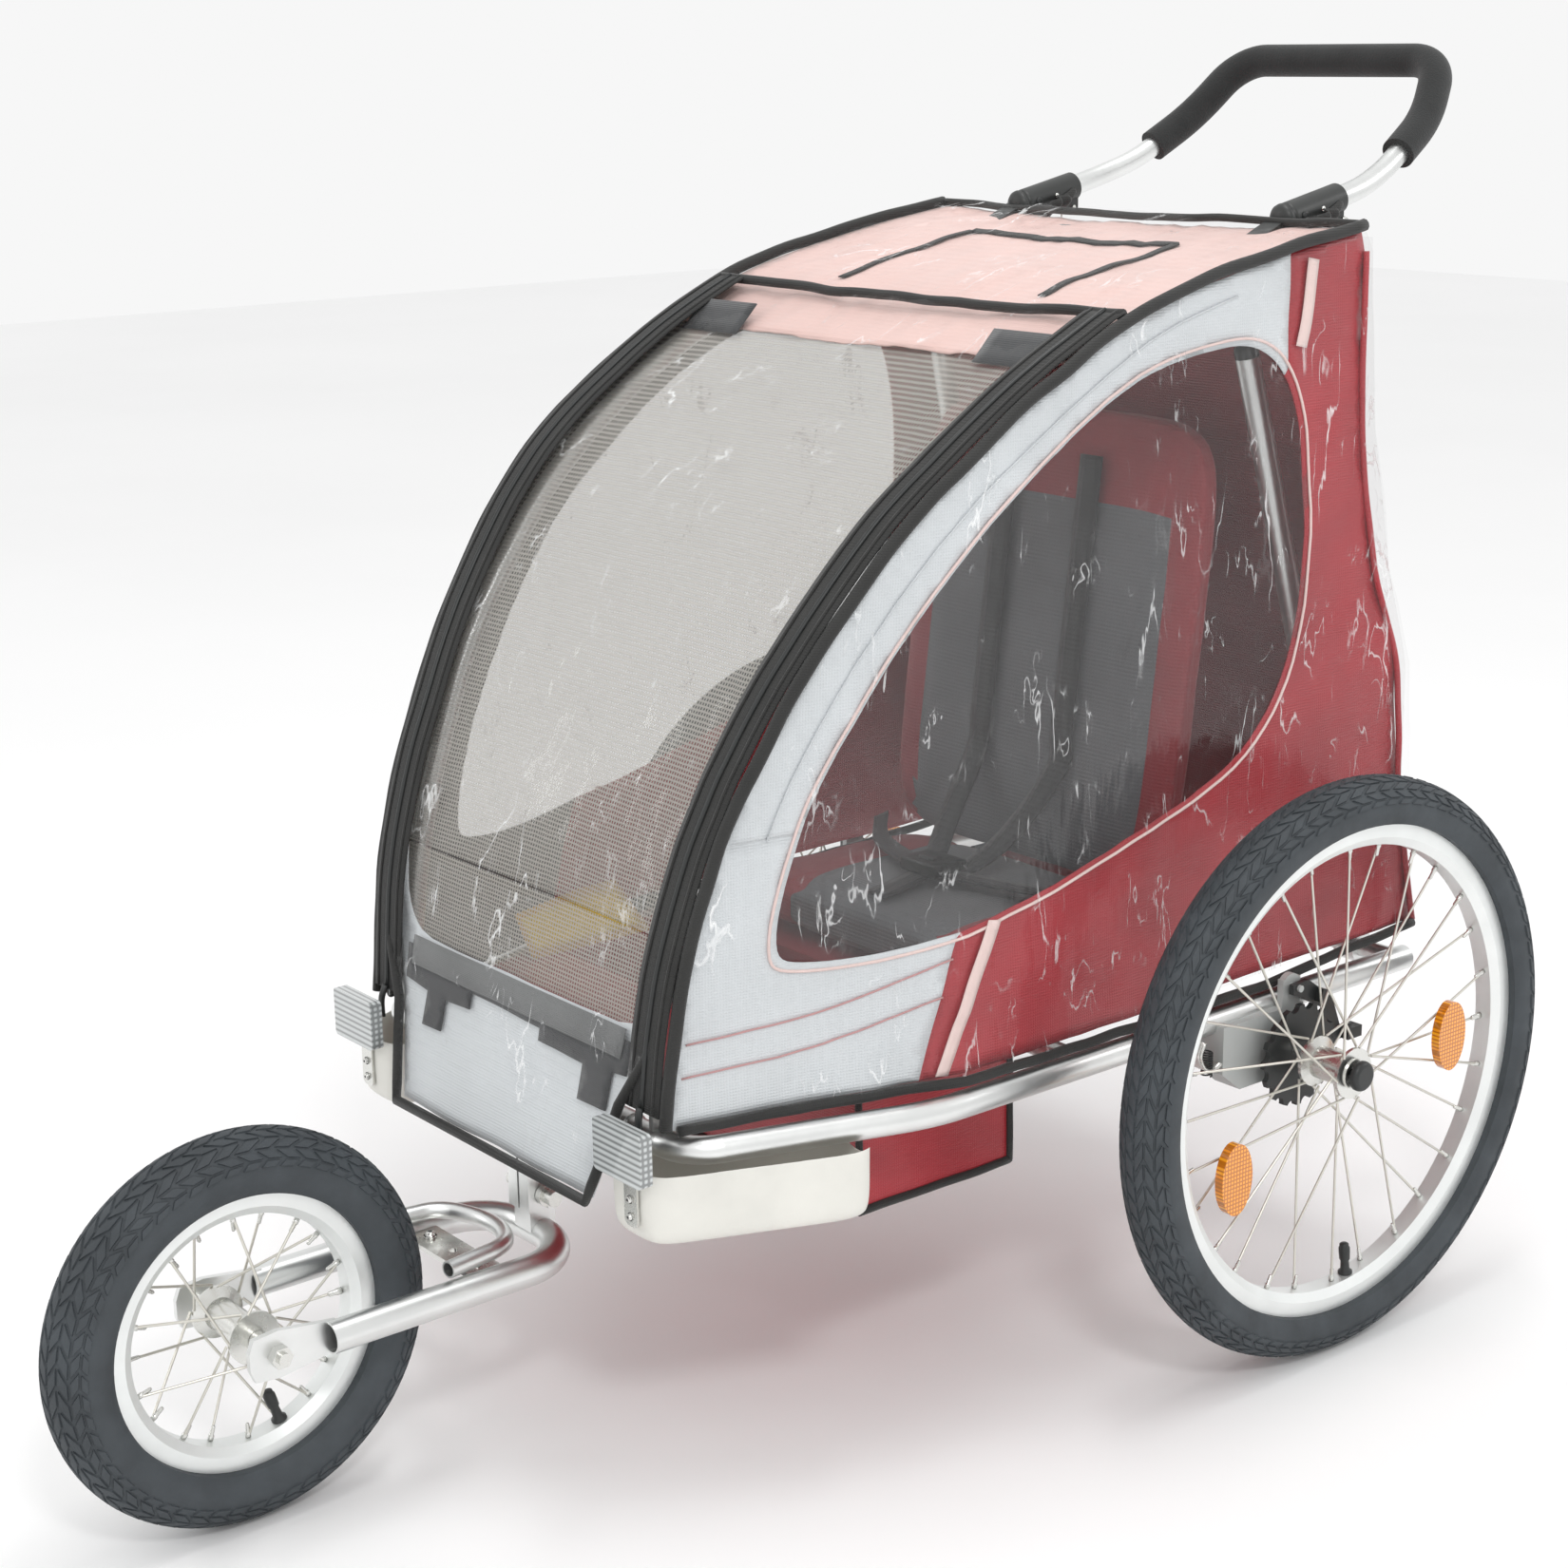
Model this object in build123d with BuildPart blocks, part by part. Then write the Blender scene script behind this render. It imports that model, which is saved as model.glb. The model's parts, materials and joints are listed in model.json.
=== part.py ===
from build123d import *
import os
from math import cos, pi, radians, sin

# Child bicycle trailer with a jogger wheel, a push handle and a folding fabric cabin.
# Millimetres. +Z is up, the front faces -Y and +X is the trailer's own left side.
# The origin is on the ground, under the middle of the whole trailer.

os.makedirs("parts", exist_ok=True)

# Wheels
REAR_AXLE_Y = 312.0
REAR_TYRE_R = 250.0
REAR_SECTION_R = 23.5
REAR_RIM_R = 213.0
REAR_WHEEL_X = 348.0
REAR_SPOKES = 28
FRONT_SPOKES = 20
FRONT_AXLE_Y = -537.0
FRONT_TYRE_R = 156.0
FRONT_SECTION_R = 27.0
FRONT_RIM_R = 111.0
RIM_HALF_WIDTH = 13.0
RIM_WALL = 2.0
TYRE_WALL = 3.0
SPOKE_R = 1.1
WHEEL_AXLE_R = 6.0
FRONT_AXLE_R = 5.0
FIT = 0.05

# Chassis tubes
RAIL_R = 11.0
RAIL_Z = 288.0
RAIL_X = 270.0
RAIL_REAR_Y = 492.0
TUBE_WALL = 1.5
FRONT_TUBE_Y = -267.0
AXLE_TUBE_R = 14.0

# Folding frame
HOOP_R = 9.0
HOOP_BENDS = [515.0, 464.0, 555.0, 497.0]
HOOP_PIVOT_Y = -263.0
HOOP_PIVOT_Z = 312.0
UPRIGHT_R = 10.5
UPRIGHT_BASE = (222.0, 480.0, 290.0)
UPRIGHT_TOP = (192.0, 347.0, 828.0)
ROOF_TUBE_R = 8.0
ROOF_FRONT_Y, ROOF_FRONT_Z = 235.0, 879.0
ROOF_REAR_Y, ROOF_REAR_Z = 398.0, 914.5

# Push handle
SLEEVE_X = 161.0
SLEEVE_FRONT = (423.0, 936.0)
SLEEVE_REAR = (490.0, 950.0)
HANDLE_R = 9.5
GRIP_R = 15.0
HANDLE_REAR_Y = 693.0

# Fabric cabin
CLOTH = 1.5
CABIN_BOTTOM = 306.0
CABIN_TOP = 960.0
COVER_GAP = 4.0
FILM = 0.5
SECTION_Y = (-337.0, -275.0, -167.0, -37.0, 63.0, 563.0)
HALF_WIDTHS = {
    CABIN_BOTTOM - 26: (190.0, 200.0, 225.0, 268.0, 270.0, 270.0),
    560.0: (200.0, 206.0, 224.0, 250.0, 258.0, 262.0),
    CABIN_TOP: (252.0, 252.0, 252.0, 252.0, 252.0, 252.0),
}

SIDES = ((1, "left"), (-1, "right"))
ALONG_X = Plane.YZ


def save(builder, node):
    """Labels a finished piece and writes it as one STEP file."""
    builder.part.label = node
    export_step(builder.part, f"parts/{node}.step")


def both_sides(build):
    """Builds a piece for the left and the right and joins the pair as one node of separate solids."""
    pair = [build(side).part for side, _ in SIDES]
    with BuildPart() as group:
        for one in pair:
            add(one)
    return group


def pipe(points, radii, outer, inner=0.0):
    """A round tube, or a rod when inner is zero, along straight runs joined by tangent arcs."""
    with BuildPart() as swept:
        with BuildLine() as route:
            if radii:
                FilletPolyline(*points, radius=radii)
            else:
                Polyline(*points)
        with BuildSketch(Plane(origin=route.line @ 0, z_dir=route.line % 0)):
            Circle(outer)
            if inner:
                Circle(inner, mode=Mode.SUBTRACT)
        sweep()
    return swept


def rod_x(x0, x1, y, z, outer, inner=0.0):
    """A round bar or bush along X."""
    with BuildPart() as bar:
        with BuildSketch(ALONG_X.offset(min(x0, x1))):
            with Locations((y, z)):
                Circle(outer)
                if inner:
                    Circle(inner, mode=Mode.SUBTRACT)
        extrude(amount=abs(x1 - x0))
    return bar


# ---------------------------------------------------------------- wheels


def wheel_plane(x, y, z):
    """Half section plane of a wheel: local x is across the wheel and local y is the radius."""
    return Plane(origin=(x, y, z), x_dir=(1, 0, 0), z_dir=(0, -1, 0))


def tyre(x, y, radius, section, rim_edge_r):
    """A hollow carcass that sits on the rim's lips, with its two beads between the rim's walls."""
    bead_half = RIM_HALF_WIDTH - RIM_WALL - 0.1
    lip_r = rim_edge_r + 0.2
    shoulder = (section**2 - (radius - section - lip_r) ** 2) ** 0.5 - 0.5
    with BuildPart() as carcass:
        with BuildSketch(wheel_plane(x, y, radius)):
            with Locations((0, radius - section)):
                Circle(section)
                Circle(section - TYRE_WALL, mode=Mode.SUBTRACT)
            with Locations((0, lip_r - section)):
                Rectangle(3 * section, 2 * section, mode=Mode.SUBTRACT)
            for side in (1, -1):
                with Locations((side * (shoulder + bead_half - TYRE_WALL) / 2, lip_r + TYRE_WALL / 2)):
                    Rectangle(shoulder - bead_half + TYRE_WALL, TYRE_WALL)
                with Locations((side * (bead_half - TYRE_WALL / 2), lip_r - 4)):
                    Rectangle(TYRE_WALL, 8.5)
        revolve(axis=Axis((x, y, radius), (1, 0, 0)))
    return carcass


def rim(x, y, z, edge_r):
    """A box-bottomed rim with two upright walls that hold the tyre's beads."""
    well_r = edge_r - 19.0
    floor_r = edge_r - 12.0
    outline = (
        (-RIM_HALF_WIDTH, edge_r),
        (-RIM_HALF_WIDTH, floor_r),
        (-RIM_HALF_WIDTH + 5, well_r),
        (RIM_HALF_WIDTH - 5, well_r),
        (RIM_HALF_WIDTH, floor_r),
        (RIM_HALF_WIDTH, edge_r),
        (RIM_HALF_WIDTH - RIM_WALL, edge_r),
        (RIM_HALF_WIDTH - RIM_WALL, floor_r + 0.5),
        (RIM_HALF_WIDTH - 6, well_r + RIM_WALL),
        (-RIM_HALF_WIDTH + 6, well_r + RIM_WALL),
        (-RIM_HALF_WIDTH + RIM_WALL, floor_r + 0.5),
        (-RIM_HALF_WIDTH + RIM_WALL, edge_r),
    )
    with BuildPart() as ring:
        with BuildSketch(wheel_plane(x, y, z)):
            with BuildLine():
                Polyline(*outline, close=True)
            make_face()
        revolve(axis=Axis((x, y, z), (1, 0, 0)))
    return ring


def hub(x, y, z, profile, bore_r):
    """A turned hub. The profile lists (across the wheel, radius) from one end to the other."""
    first, last = profile[0][0], profile[-1][0]
    with BuildPart() as turned:
        with BuildSketch(wheel_plane(x, y, z)):
            with BuildLine():
                Polyline((first, bore_r), *profile, (last, bore_r), close=True)
            make_face()
        revolve(axis=Axis((x, y, z), (1, 0, 0)))
    return turned


def spokes(x, y, z, count, flange_r, flanges, rim_r, cross):
    """Straight spokes from the two flanges to the rim, leading and trailing in turn."""
    with BuildPart() as laced:
        for i in range(count):
            flange_x = flanges[i % 2]
            lead = 1 if (i // 2) % 2 else -1
            rim_angle = 2 * pi * i / count
            hub_angle = rim_angle + lead * cross
            start = Vector(
                x + flange_x + lead * 2.6,
                y + flange_r * cos(hub_angle),
                z + flange_r * sin(hub_angle),
            )
            end = Vector(x + 0.12 * flange_x, y + rim_r * cos(rim_angle), z + rim_r * sin(rim_angle))
            with BuildSketch(Plane(origin=start, z_dir=end - start)):
                Circle(SPOKE_R)
            extrude(amount=(end - start).length)
    return laced


REAR_HUB_PROFILE = (
    (-47.0, 11.9), (-25.5, 11.9), (-25.5, 22.0), (-22.5, 22.0), (-20.0, 14.0),
    (10.5, 14.0), (13.5, 22.0), (16.5, 22.0), (16.5, 13.0), (18.0, 13.0),
)
FRONT_HUB_PROFILE = (
    (-40.0, 9.0), (-35.5, 9.0), (-35.5, 21.0), (-32.5, 21.0), (-29.0, 13.0),
    (19.0, 13.0), (22.5, 21.0), (25.5, 21.0), (25.5, 9.0), (30.0, 9.0),
)
RATCHET_X = REAR_WHEEL_X - 44.0
RATCHET_R = 45.0
RATCHET_TEETH = 16
RATCHET_THICKNESS = 5.0
PAWL_NOTCH_ANGLE = 56.3
LENS_THICKNESS = 8.0


def flip(profile, side):
    """Mirrors a hub profile for the right-hand wheel, keeping it ordered across the wheel."""
    return profile if side > 0 else tuple((-px, pr) for px, pr in reversed(profile))


def ratchet(side):
    """The brake's toothed disc, a push fit on the hub's inner end."""
    with BuildPart() as disc:
        with BuildSketch(ALONG_X.offset(side * RATCHET_X - RATCHET_THICKNESS / 2)):
            with Locations((REAR_AXLE_Y, REAR_TYRE_R)):
                Circle(RATCHET_R)
                Circle(11.95, mode=Mode.SUBTRACT)
                with PolarLocations(RATCHET_R + 1, RATCHET_TEETH, start_angle=PAWL_NOTCH_ANGLE):
                    Circle(5.8, mode=Mode.SUBTRACT)
        extrude(amount=RATCHET_THICKNESS)
    return disc


def wheel_reflectors(side):
    """Two oval reflectors clipped among the spokes, clear of them on the outer side."""
    with BuildPart() as pair:
        for offset_y, offset_z in ((128.0, 2.0), (-143.0, -55.0)):
            with BuildSketch(ALONG_X.offset(side * (REAR_WHEEL_X + 14.0) - LENS_THICKNESS / 2)):
                with Locations((REAR_AXLE_Y + offset_y, REAR_TYRE_R + offset_z)):
                    Ellipse(18.0, 31.0)
            extrude(amount=LENS_THICKNESS)
    return pair


for side, name in SIDES:
    centre_x = side * REAR_WHEEL_X
    rear = (centre_x, REAR_AXLE_Y, REAR_TYRE_R)
    save(tyre(centre_x, REAR_AXLE_Y, REAR_TYRE_R, REAR_SECTION_R, REAR_RIM_R), f"{name}_tyre")
    save(rim(*rear, REAR_RIM_R), f"{name}_rim")
    save(hub(*rear, flip(REAR_HUB_PROFILE, side), WHEEL_AXLE_R + FIT), f"{name}_hub")
    flanges = (-24.0 * side, 15.0 * side)
    save(spokes(*rear, REAR_SPOKES, 22.6, flanges, REAR_RIM_R - 19.3, radians(42)), f"{name}_spokes")
    save(ratchet(side), f"{name}_brake_ratchet")
    save(wheel_reflectors(side), f"{name}_wheel_reflectors")

front = (0.0, FRONT_AXLE_Y, FRONT_TYRE_R)
save(tyre(0.0, FRONT_AXLE_Y, FRONT_TYRE_R, FRONT_SECTION_R, FRONT_RIM_R), "front_tyre")
save(rim(*front, FRONT_RIM_R), "front_rim")
save(hub(*front, FRONT_HUB_PROFILE, FRONT_AXLE_R + FIT), "front_hub")
save(spokes(*front, FRONT_SPOKES, 21.6, (-34.0, 24.0), FRONT_RIM_R - 19.6, radians(50)), "front_spokes")


# ---------------------------------------------------------------- chassis


def rail_points(side):
    return (
        (side * RAIL_X, RAIL_REAR_Y, RAIL_Z),
        (side * RAIL_X, -75, RAIL_Z),
        (side * 208, FRONT_TUBE_Y, RAIL_Z),
        (side * 120, FRONT_TUBE_Y, RAIL_Z),
    )


RAIL_BENDS = [180.0, 38.0]


def side_rail(side):
    """One side of the chassis: rear end, gentle inward bend, tight bend round the front corner.
    A cross hole near the rear end takes the rear cross tube."""
    inner, outer = side * (RAIL_X - 20), side * (RAIL_X + 2)
    hole = rod_x(inner, outer, UPRIGHT_BASE[1], UPRIGHT_BASE[2], ROOF_TUBE_R + FIT).part
    swept = pipe(rail_points(side), RAIL_BENDS, RAIL_R, RAIL_R - TUBE_WALL).part
    with BuildPart() as rail:
        add(swept)
        add(hole, mode=Mode.SUBTRACT)
    return rail


save(both_sides(side_rail), "side_rails")

# The front tube is a sleeve over the two rails' front ends.
FRONT_TUBE_R = RAIL_R + 1.8
FRONT_TUBE_HALF = 142.0
with BuildPart() as front_cross_tube:
    with BuildSketch(ALONG_X.offset(-FRONT_TUBE_HALF)):
        with Locations((FRONT_TUBE_Y, RAIL_Z)):
            Circle(FRONT_TUBE_R)
            Circle(RAIL_R + FIT, mode=Mode.SUBTRACT)
    extrude(amount=2 * FRONT_TUBE_HALF)
save(front_cross_tube, "front_cross_tube")

SEAT_TUBE_Y = 90.0
seat_tube_half = RAIL_X - RAIL_R - 0.2
save(
    rod_x(-seat_tube_half, seat_tube_half, SEAT_TUBE_Y, RAIL_Z, 9.0, 7.5),
    "seat_cross_tube",
)
rear_tube_half = RAIL_X - 1.0
save(
    rod_x(-rear_tube_half, rear_tube_half, UPRIGHT_BASE[1], UPRIGHT_BASE[2], ROOF_TUBE_R, ROOF_TUBE_R - 1.5),
    "rear_cross_tube",
)

# The axle tube is open along its middle and has a thick bored end for each wheel axle.
AXLE_TUBE_HALF = 298.0
AXLE_TUBE_OPEN_HALF = 220.0
with BuildPart() as rear_axle_tube:
    with BuildSketch(ALONG_X.offset(-AXLE_TUBE_HALF)):
        with Locations((REAR_AXLE_Y, REAR_TYRE_R)):
            Circle(AXLE_TUBE_R)
            Circle(WHEEL_AXLE_R + FIT, mode=Mode.SUBTRACT)
    extrude(amount=2 * AXLE_TUBE_HALF)
    with BuildSketch(ALONG_X.offset(-AXLE_TUBE_OPEN_HALF)):
        with Locations((REAR_AXLE_Y, REAR_TYRE_R)):
            Circle(AXLE_TUBE_R - 2.0)
    extrude(amount=2 * AXLE_TUBE_OPEN_HALF, mode=Mode.SUBTRACT)
save(rear_axle_tube, "rear_axle_tube")

BRACKET_Y0, BRACKET_Y1 = 234.0, 334.0
BRACKET_Z0 = 228.0
BRACKET_X = 275.0
BRACKET_WIDTH = 28.0
BRAKE_PIVOT_Y, BRAKE_PIVOT_Z = 318.0, 306.0
BRAKE_X = 295.0
LEVER_THICKNESS = 5.0
PAWL_WIDTH = 9.0


def axle_bracket(side):
    """A pressed box under the rail that carries the axle tube, with an ear and a pin for the brake lever."""
    with BuildPart() as bracket:
        with BuildSketch(ALONG_X.offset(side * BRACKET_X - BRACKET_WIDTH / 2)):
            with BuildLine():
                Polyline(
                    (BRACKET_Y0, RAIL_Z),
                    (BRACKET_Y0, BRACKET_Z0 + 18),
                    (BRACKET_Y0 + 22, BRACKET_Z0),
                    (BRACKET_Y1 - 8, BRACKET_Z0),
                    (BRACKET_Y1, BRACKET_Z0 + 10),
                    (BRACKET_Y1, RAIL_Z),
                    close=True,
                )
            make_face()
            with Locations((REAR_AXLE_Y, REAR_TYRE_R)):
                Circle(AXLE_TUBE_R + FIT, mode=Mode.SUBTRACT)
        extrude(amount=BRACKET_WIDTH)
        with BuildSketch(ALONG_X.offset(side * 286.0 - 3.0)):
            with Locations((BRAKE_PIVOT_Y, (RAIL_Z + BRAKE_PIVOT_Z) / 2 - 2)):
                Rectangle(22, BRAKE_PIVOT_Z - RAIL_Z + 18)
            with Locations((BRAKE_PIVOT_Y, BRAKE_PIVOT_Z)):
                Circle(11)
        extrude(amount=6.0)
        with BuildSketch(ALONG_X.offset(side * 294.0 - 6.0)):
            with Locations((BRAKE_PIVOT_Y, BRAKE_PIVOT_Z)):
                Circle(3)
        extrude(amount=12.0)
        with Locations(Location((side * RAIL_X, (BRACKET_Y0 + BRACKET_Y1) / 2, RAIL_Z), (90, 0, 0))):
            Cylinder(RAIL_R + FIT, BRACKET_Y1 - BRACKET_Y0 + 20, mode=Mode.SUBTRACT)
    return bracket


def brake_lever(side):
    """A parking brake lever: a pawl that drops into the toothed disc and a stub for the foot."""
    with BuildPart() as lever:
        with BuildSketch(ALONG_X.offset(side * BRAKE_X - LEVER_THICKNESS / 2)):
            with BuildLine():
                Polyline(
                    (BRAKE_PIVOT_Y - 7, BRAKE_PIVOT_Z + 4),
                    (BRAKE_PIVOT_Y + 12, BRAKE_PIVOT_Z + 5),
                    (362, 288),
                    (374, 258),
                    (394, 257),
                    (394, 247),
                    (366, 247),
                    (352, 280),
                    (BRAKE_PIVOT_Y + 2, BRAKE_PIVOT_Z - 9),
                    (BRAKE_PIVOT_Y - 7, BRAKE_PIVOT_Z - 5),
                    close=True,
                )
            make_face()
            with Locations((BRAKE_PIVOT_Y, BRAKE_PIVOT_Z)):
                Circle(3.06, mode=Mode.SUBTRACT)
        extrude(amount=LEVER_THICKNESS)
        with BuildSketch(ALONG_X.offset(side * (BRAKE_X + 5.5) - PAWL_WIDTH / 2)):
            with BuildLine():
                Polyline((338.1, 290.5), (342.3, 289.2), (347.1, 300.0), (340.4, 302.1), close=True)
            make_face()
            with Locations((385, 252)):
                Rectangle(18, 10)
        extrude(amount=PAWL_WIDTH)
    return lever


AXLE_END_X = 366.0
BUTTON_X0, BUTTON_X1 = 370.6, 377.0
BUTTON_STEM_R = 3.0


def wheel_axle(side):
    """A quick-release wheel axle with a blind bore in its outer end for the release button."""
    with BuildPart() as axle:
        add(rod_x(side * 262, side * AXLE_END_X, REAR_AXLE_Y, REAR_TYRE_R, WHEEL_AXLE_R).part)
        bore = rod_x(side * 336, side * AXLE_END_X, REAR_AXLE_Y, REAR_TYRE_R, BUTTON_STEM_R + 0.1)
        add(bore.part, mode=Mode.SUBTRACT)
    return axle


def release_button(side):
    """A round domed button on a stem that pushes into the axle."""
    with BuildPart() as button:
        add(rod_x(side * BUTTON_X0, side * BUTTON_X1, REAR_AXLE_Y, REAR_TYRE_R, 13.0).part)
        outer_face = button.faces().filter_by(Axis.X).sort_by(Axis.X)[-1 if side > 0 else 0]
        fillet(outer_face.edges(), radius=4.5)
        add(rod_x(side * 343, side * (BUTTON_X0 + 0.4), REAR_AXLE_Y, REAR_TYRE_R, BUTTON_STEM_R).part)
    return button


save(both_sides(axle_bracket), "axle_brackets")
for side, name in SIDES:
    save(brake_lever(side), f"{name}_brake_lever")
    save(release_button(side), f"{name}_release_button")
save(both_sides(wheel_axle), "wheel_axles")

BUMPER_Z0, BUMPER_Z1 = 217.0, 290.0
BUMPER_FRONT_Y = -304.0
BUMPER_INNER_X = 150.0
BUMPER_SIDE_X = 277.0
BUMPER_REAR_Y = -132.0
BUMPER_BACK_Y = -246.0


def bumper(side):
    """A moulded corner guard: an open tray under the rail's front bend."""
    outline = (
        (side * BUMPER_INNER_X, BUMPER_FRONT_Y),
        (side * 214, BUMPER_FRONT_Y),
        (side * BUMPER_SIDE_X, BUMPER_REAR_Y - 18),
        (side * BUMPER_SIDE_X, BUMPER_REAR_Y),
        (side * 224, BUMPER_REAR_Y),
        (side * 206, -205),
        (side * 176, BUMPER_BACK_Y),
        (side * BUMPER_INNER_X, BUMPER_BACK_Y),
    )
    channel = pipe(rail_points(side), RAIL_BENDS, RAIL_R + 0.3).part
    with BuildPart() as guard:
        with BuildSketch(Plane.XY.offset(BUMPER_Z0)) as plan:
            with BuildLine():
                Polyline(*outline, close=True)
            make_face()
            fillet(plan.vertices(), radius=9)
        extrude(amount=BUMPER_Z1 - BUMPER_Z0)
        fillet(guard.faces().sort_by(Axis.Z)[0].edges(), radius=7)
        offset(amount=-3.0, openings=guard.faces().sort_by(Axis.Z)[-1])
        add(channel, mode=Mode.SUBTRACT)
    return guard


REFLECTOR_X, REFLECTOR_Z = 190.0, 297.0
SCREW_Z = (243.0, 257.0)


def front_reflector(side):
    """A rectangular lens block that faces forward."""
    with BuildPart() as lens:
        with Locations((side * REFLECTOR_X, BUMPER_FRONT_Y - 8.1, REFLECTOR_Z)):
            Box(60, 11, 42)
        fillet(lens.edges().filter_by(Axis.Y), radius=4)
    return lens


def reflector_bracket(side):
    """A steel strip with two holes, screwed to the bumper's face."""
    with BuildPart() as strip:
        with BuildSketch(Plane.XZ.offset(-BUMPER_FRONT_Y + 0.1)):
            with Locations((side * REFLECTOR_X, 272)):
                RectangleRounded(16, 74, 5)
            with Locations((side * REFLECTOR_X, SCREW_Z[0]), (side * REFLECTOR_X, SCREW_Z[1])):
                Circle(2.6, mode=Mode.SUBTRACT)
        extrude(amount=2.0)
    return strip


save(both_sides(bumper), "corner_bumpers")
save(both_sides(front_reflector), "front_reflectors")
save(both_sides(reflector_bracket), "reflector_brackets")


HOOP_BRACKET_X = 173.0


def hoop_bracket(side):
    """A saddle on the rail's front bend with the pin that the cabin hoop turns on."""
    saddle = pipe(rail_points(side), RAIL_BENDS, RAIL_R + FIT).part
    with BuildPart() as bracket:
        with Locations((side * HOOP_BRACKET_X, -261, 307)):
            Box(5, 24, 38)
        add(saddle, mode=Mode.SUBTRACT)
        add(rod_x(side * HOOP_BRACKET_X, side * 194.5, HOOP_PIVOT_Y, HOOP_PIVOT_Z, 3.5).part)
    return bracket


save(both_sides(hoop_bracket), "hoop_pivot_brackets")

# Square receiver for the jogger arm, coped over the front cross tube.
RECEIVER_Z0 = 178.0
RECEIVER_Y0, RECEIVER_Y1 = -282.0, -252.0
RECEIVER_Y = (RECEIVER_Y0 + RECEIVER_Y1) / 2
SKEWER_Z = 192.0
with BuildPart() as hitch_receiver:
    with BuildSketch(Plane.XY.offset(RECEIVER_Z0)):
        with Locations((0, RECEIVER_Y)):
            Rectangle(29, 30)
            Rectangle(23.6, 24.6, mode=Mode.SUBTRACT)
        with Locations((0, RECEIVER_Y0)):
            Rectangle(2.5, 8, mode=Mode.SUBTRACT)
    extrude(amount=RAIL_Z - RECEIVER_Z0)
    with BuildSketch(ALONG_X.offset(-20)):
        with Locations((RECEIVER_Y, SKEWER_Z)):
            Circle(3.4)
        with Locations((RECEIVER_Y, SKEWER_Z - 15)):
            Rectangle(6.8, 30)
    extrude(amount=40, mode=Mode.SUBTRACT)
    with BuildSketch(ALONG_X.offset(-20)):
        with Locations((FRONT_TUBE_Y, RAIL_Z)):
            Circle(FRONT_TUBE_R + FIT)
    extrude(amount=40, mode=Mode.SUBTRACT)
save(hitch_receiver, "hitch_receiver")


# ---------------------------------------------------------------- jogger arm

FORK_R = 12.5
FORK_X = 62.0
DROPOUT_X = 58.0
FORK_Z = 156.0
FORK_REAR_Y = -267.0
FORK_END_Y = -494.0
DROPOUT_THICKNESS = 5.0
fork_points = (
    (FORK_X, FORK_END_Y, FORK_Z),
    (FORK_X, FORK_REAR_Y, FORK_Z),
    (-FORK_X, FORK_REAR_Y, FORK_Z),
    (-FORK_X, FORK_END_Y, FORK_Z),
)
fork_tube = pipe(fork_points, [50.0, 50.0], FORK_R, FORK_R - TUBE_WALL).part
axle_hole = rod_x(-90, 90, FRONT_AXLE_Y, FRONT_TYRE_R, FRONT_AXLE_R + FIT).part
with BuildPart() as jogger_fork:
    add(fork_tube)
    for side, _ in SIDES:
        with BuildSketch(ALONG_X.offset(side * DROPOUT_X - DROPOUT_THICKNESS / 2)):
            with BuildLine():
                Polyline(
                    (-560, FORK_Z + 7),
                    (-556, FORK_Z + 17),
                    (-536, FORK_Z + 19),
                    (-486, FORK_Z + 12),
                    (-486, FORK_Z - 12),
                    (-536, FORK_Z - 19),
                    (-556, FORK_Z - 17),
                    (-560, FORK_Z - 7),
                    close=True,
                )
            make_face()
        extrude(amount=DROPOUT_THICKNESS)
    add(axle_hole, mode=Mode.SUBTRACT)
save(jogger_fork, "jogger_fork")

# The second, bowed tube rises from the legs to the front of the post.
ARCH_R = 7.0
arch_points = (
    (FORK_X - 6, -385, FORK_Z + 20),
    (FORK_X - 14, -330, FORK_Z + 20),
    (0, -288, FORK_Z + 13.6),
    (-FORK_X + 14, -330, FORK_Z + 20),
    (-FORK_X + 6, -385, FORK_Z + 20),
)
save(pipe(arch_points, [38.0, 60.0, 38.0], ARCH_R, ARCH_R - TUBE_WALL), "fork_arch")

BRACE_Y = -346.0
BRACE_HOLE_R = 4.0
with BuildPart() as fork_brace:
    with Locations((0, BRACE_Y, FORK_Z + 3)):
        Box(2 * (FORK_X - FORK_R) - 0.6, 30, 4)
        Cylinder(BRACE_HOLE_R, 10, mode=Mode.SUBTRACT)
save(fork_brace, "fork_brace")

POST_TOP_Z = 268.0
with BuildPart() as fork_post:
    with BuildSketch(Plane.XY.offset(FORK_Z)):
        with Locations((0, RECEIVER_Y)):
            Rectangle(23, 24)
            Rectangle(18, 19, mode=Mode.SUBTRACT)
    extrude(amount=POST_TOP_Z - FORK_Z)
    add(rod_x(-20, 20, FORK_REAR_Y, FORK_Z, FORK_R + FIT).part, mode=Mode.SUBTRACT)
    add(rod_x(-20, 20, RECEIVER_Y, SKEWER_Z, 3.05).part, mode=Mode.SUBTRACT)
save(fork_post, "fork_post")

with BuildPart() as fork_skewer:
    add(rod_x(-29, 29, RECEIVER_Y, SKEWER_Z, 3.0).part)
    for side, _ in SIDES:
        add(rod_x(side * 21, side * 31, RECEIVER_Y, SKEWER_Z, 6.5).part)
    add(rod_x(15, 21, RECEIVER_Y, SKEWER_Z, 9.0).part)
save(fork_skewer, "fork_skewer")

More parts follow.
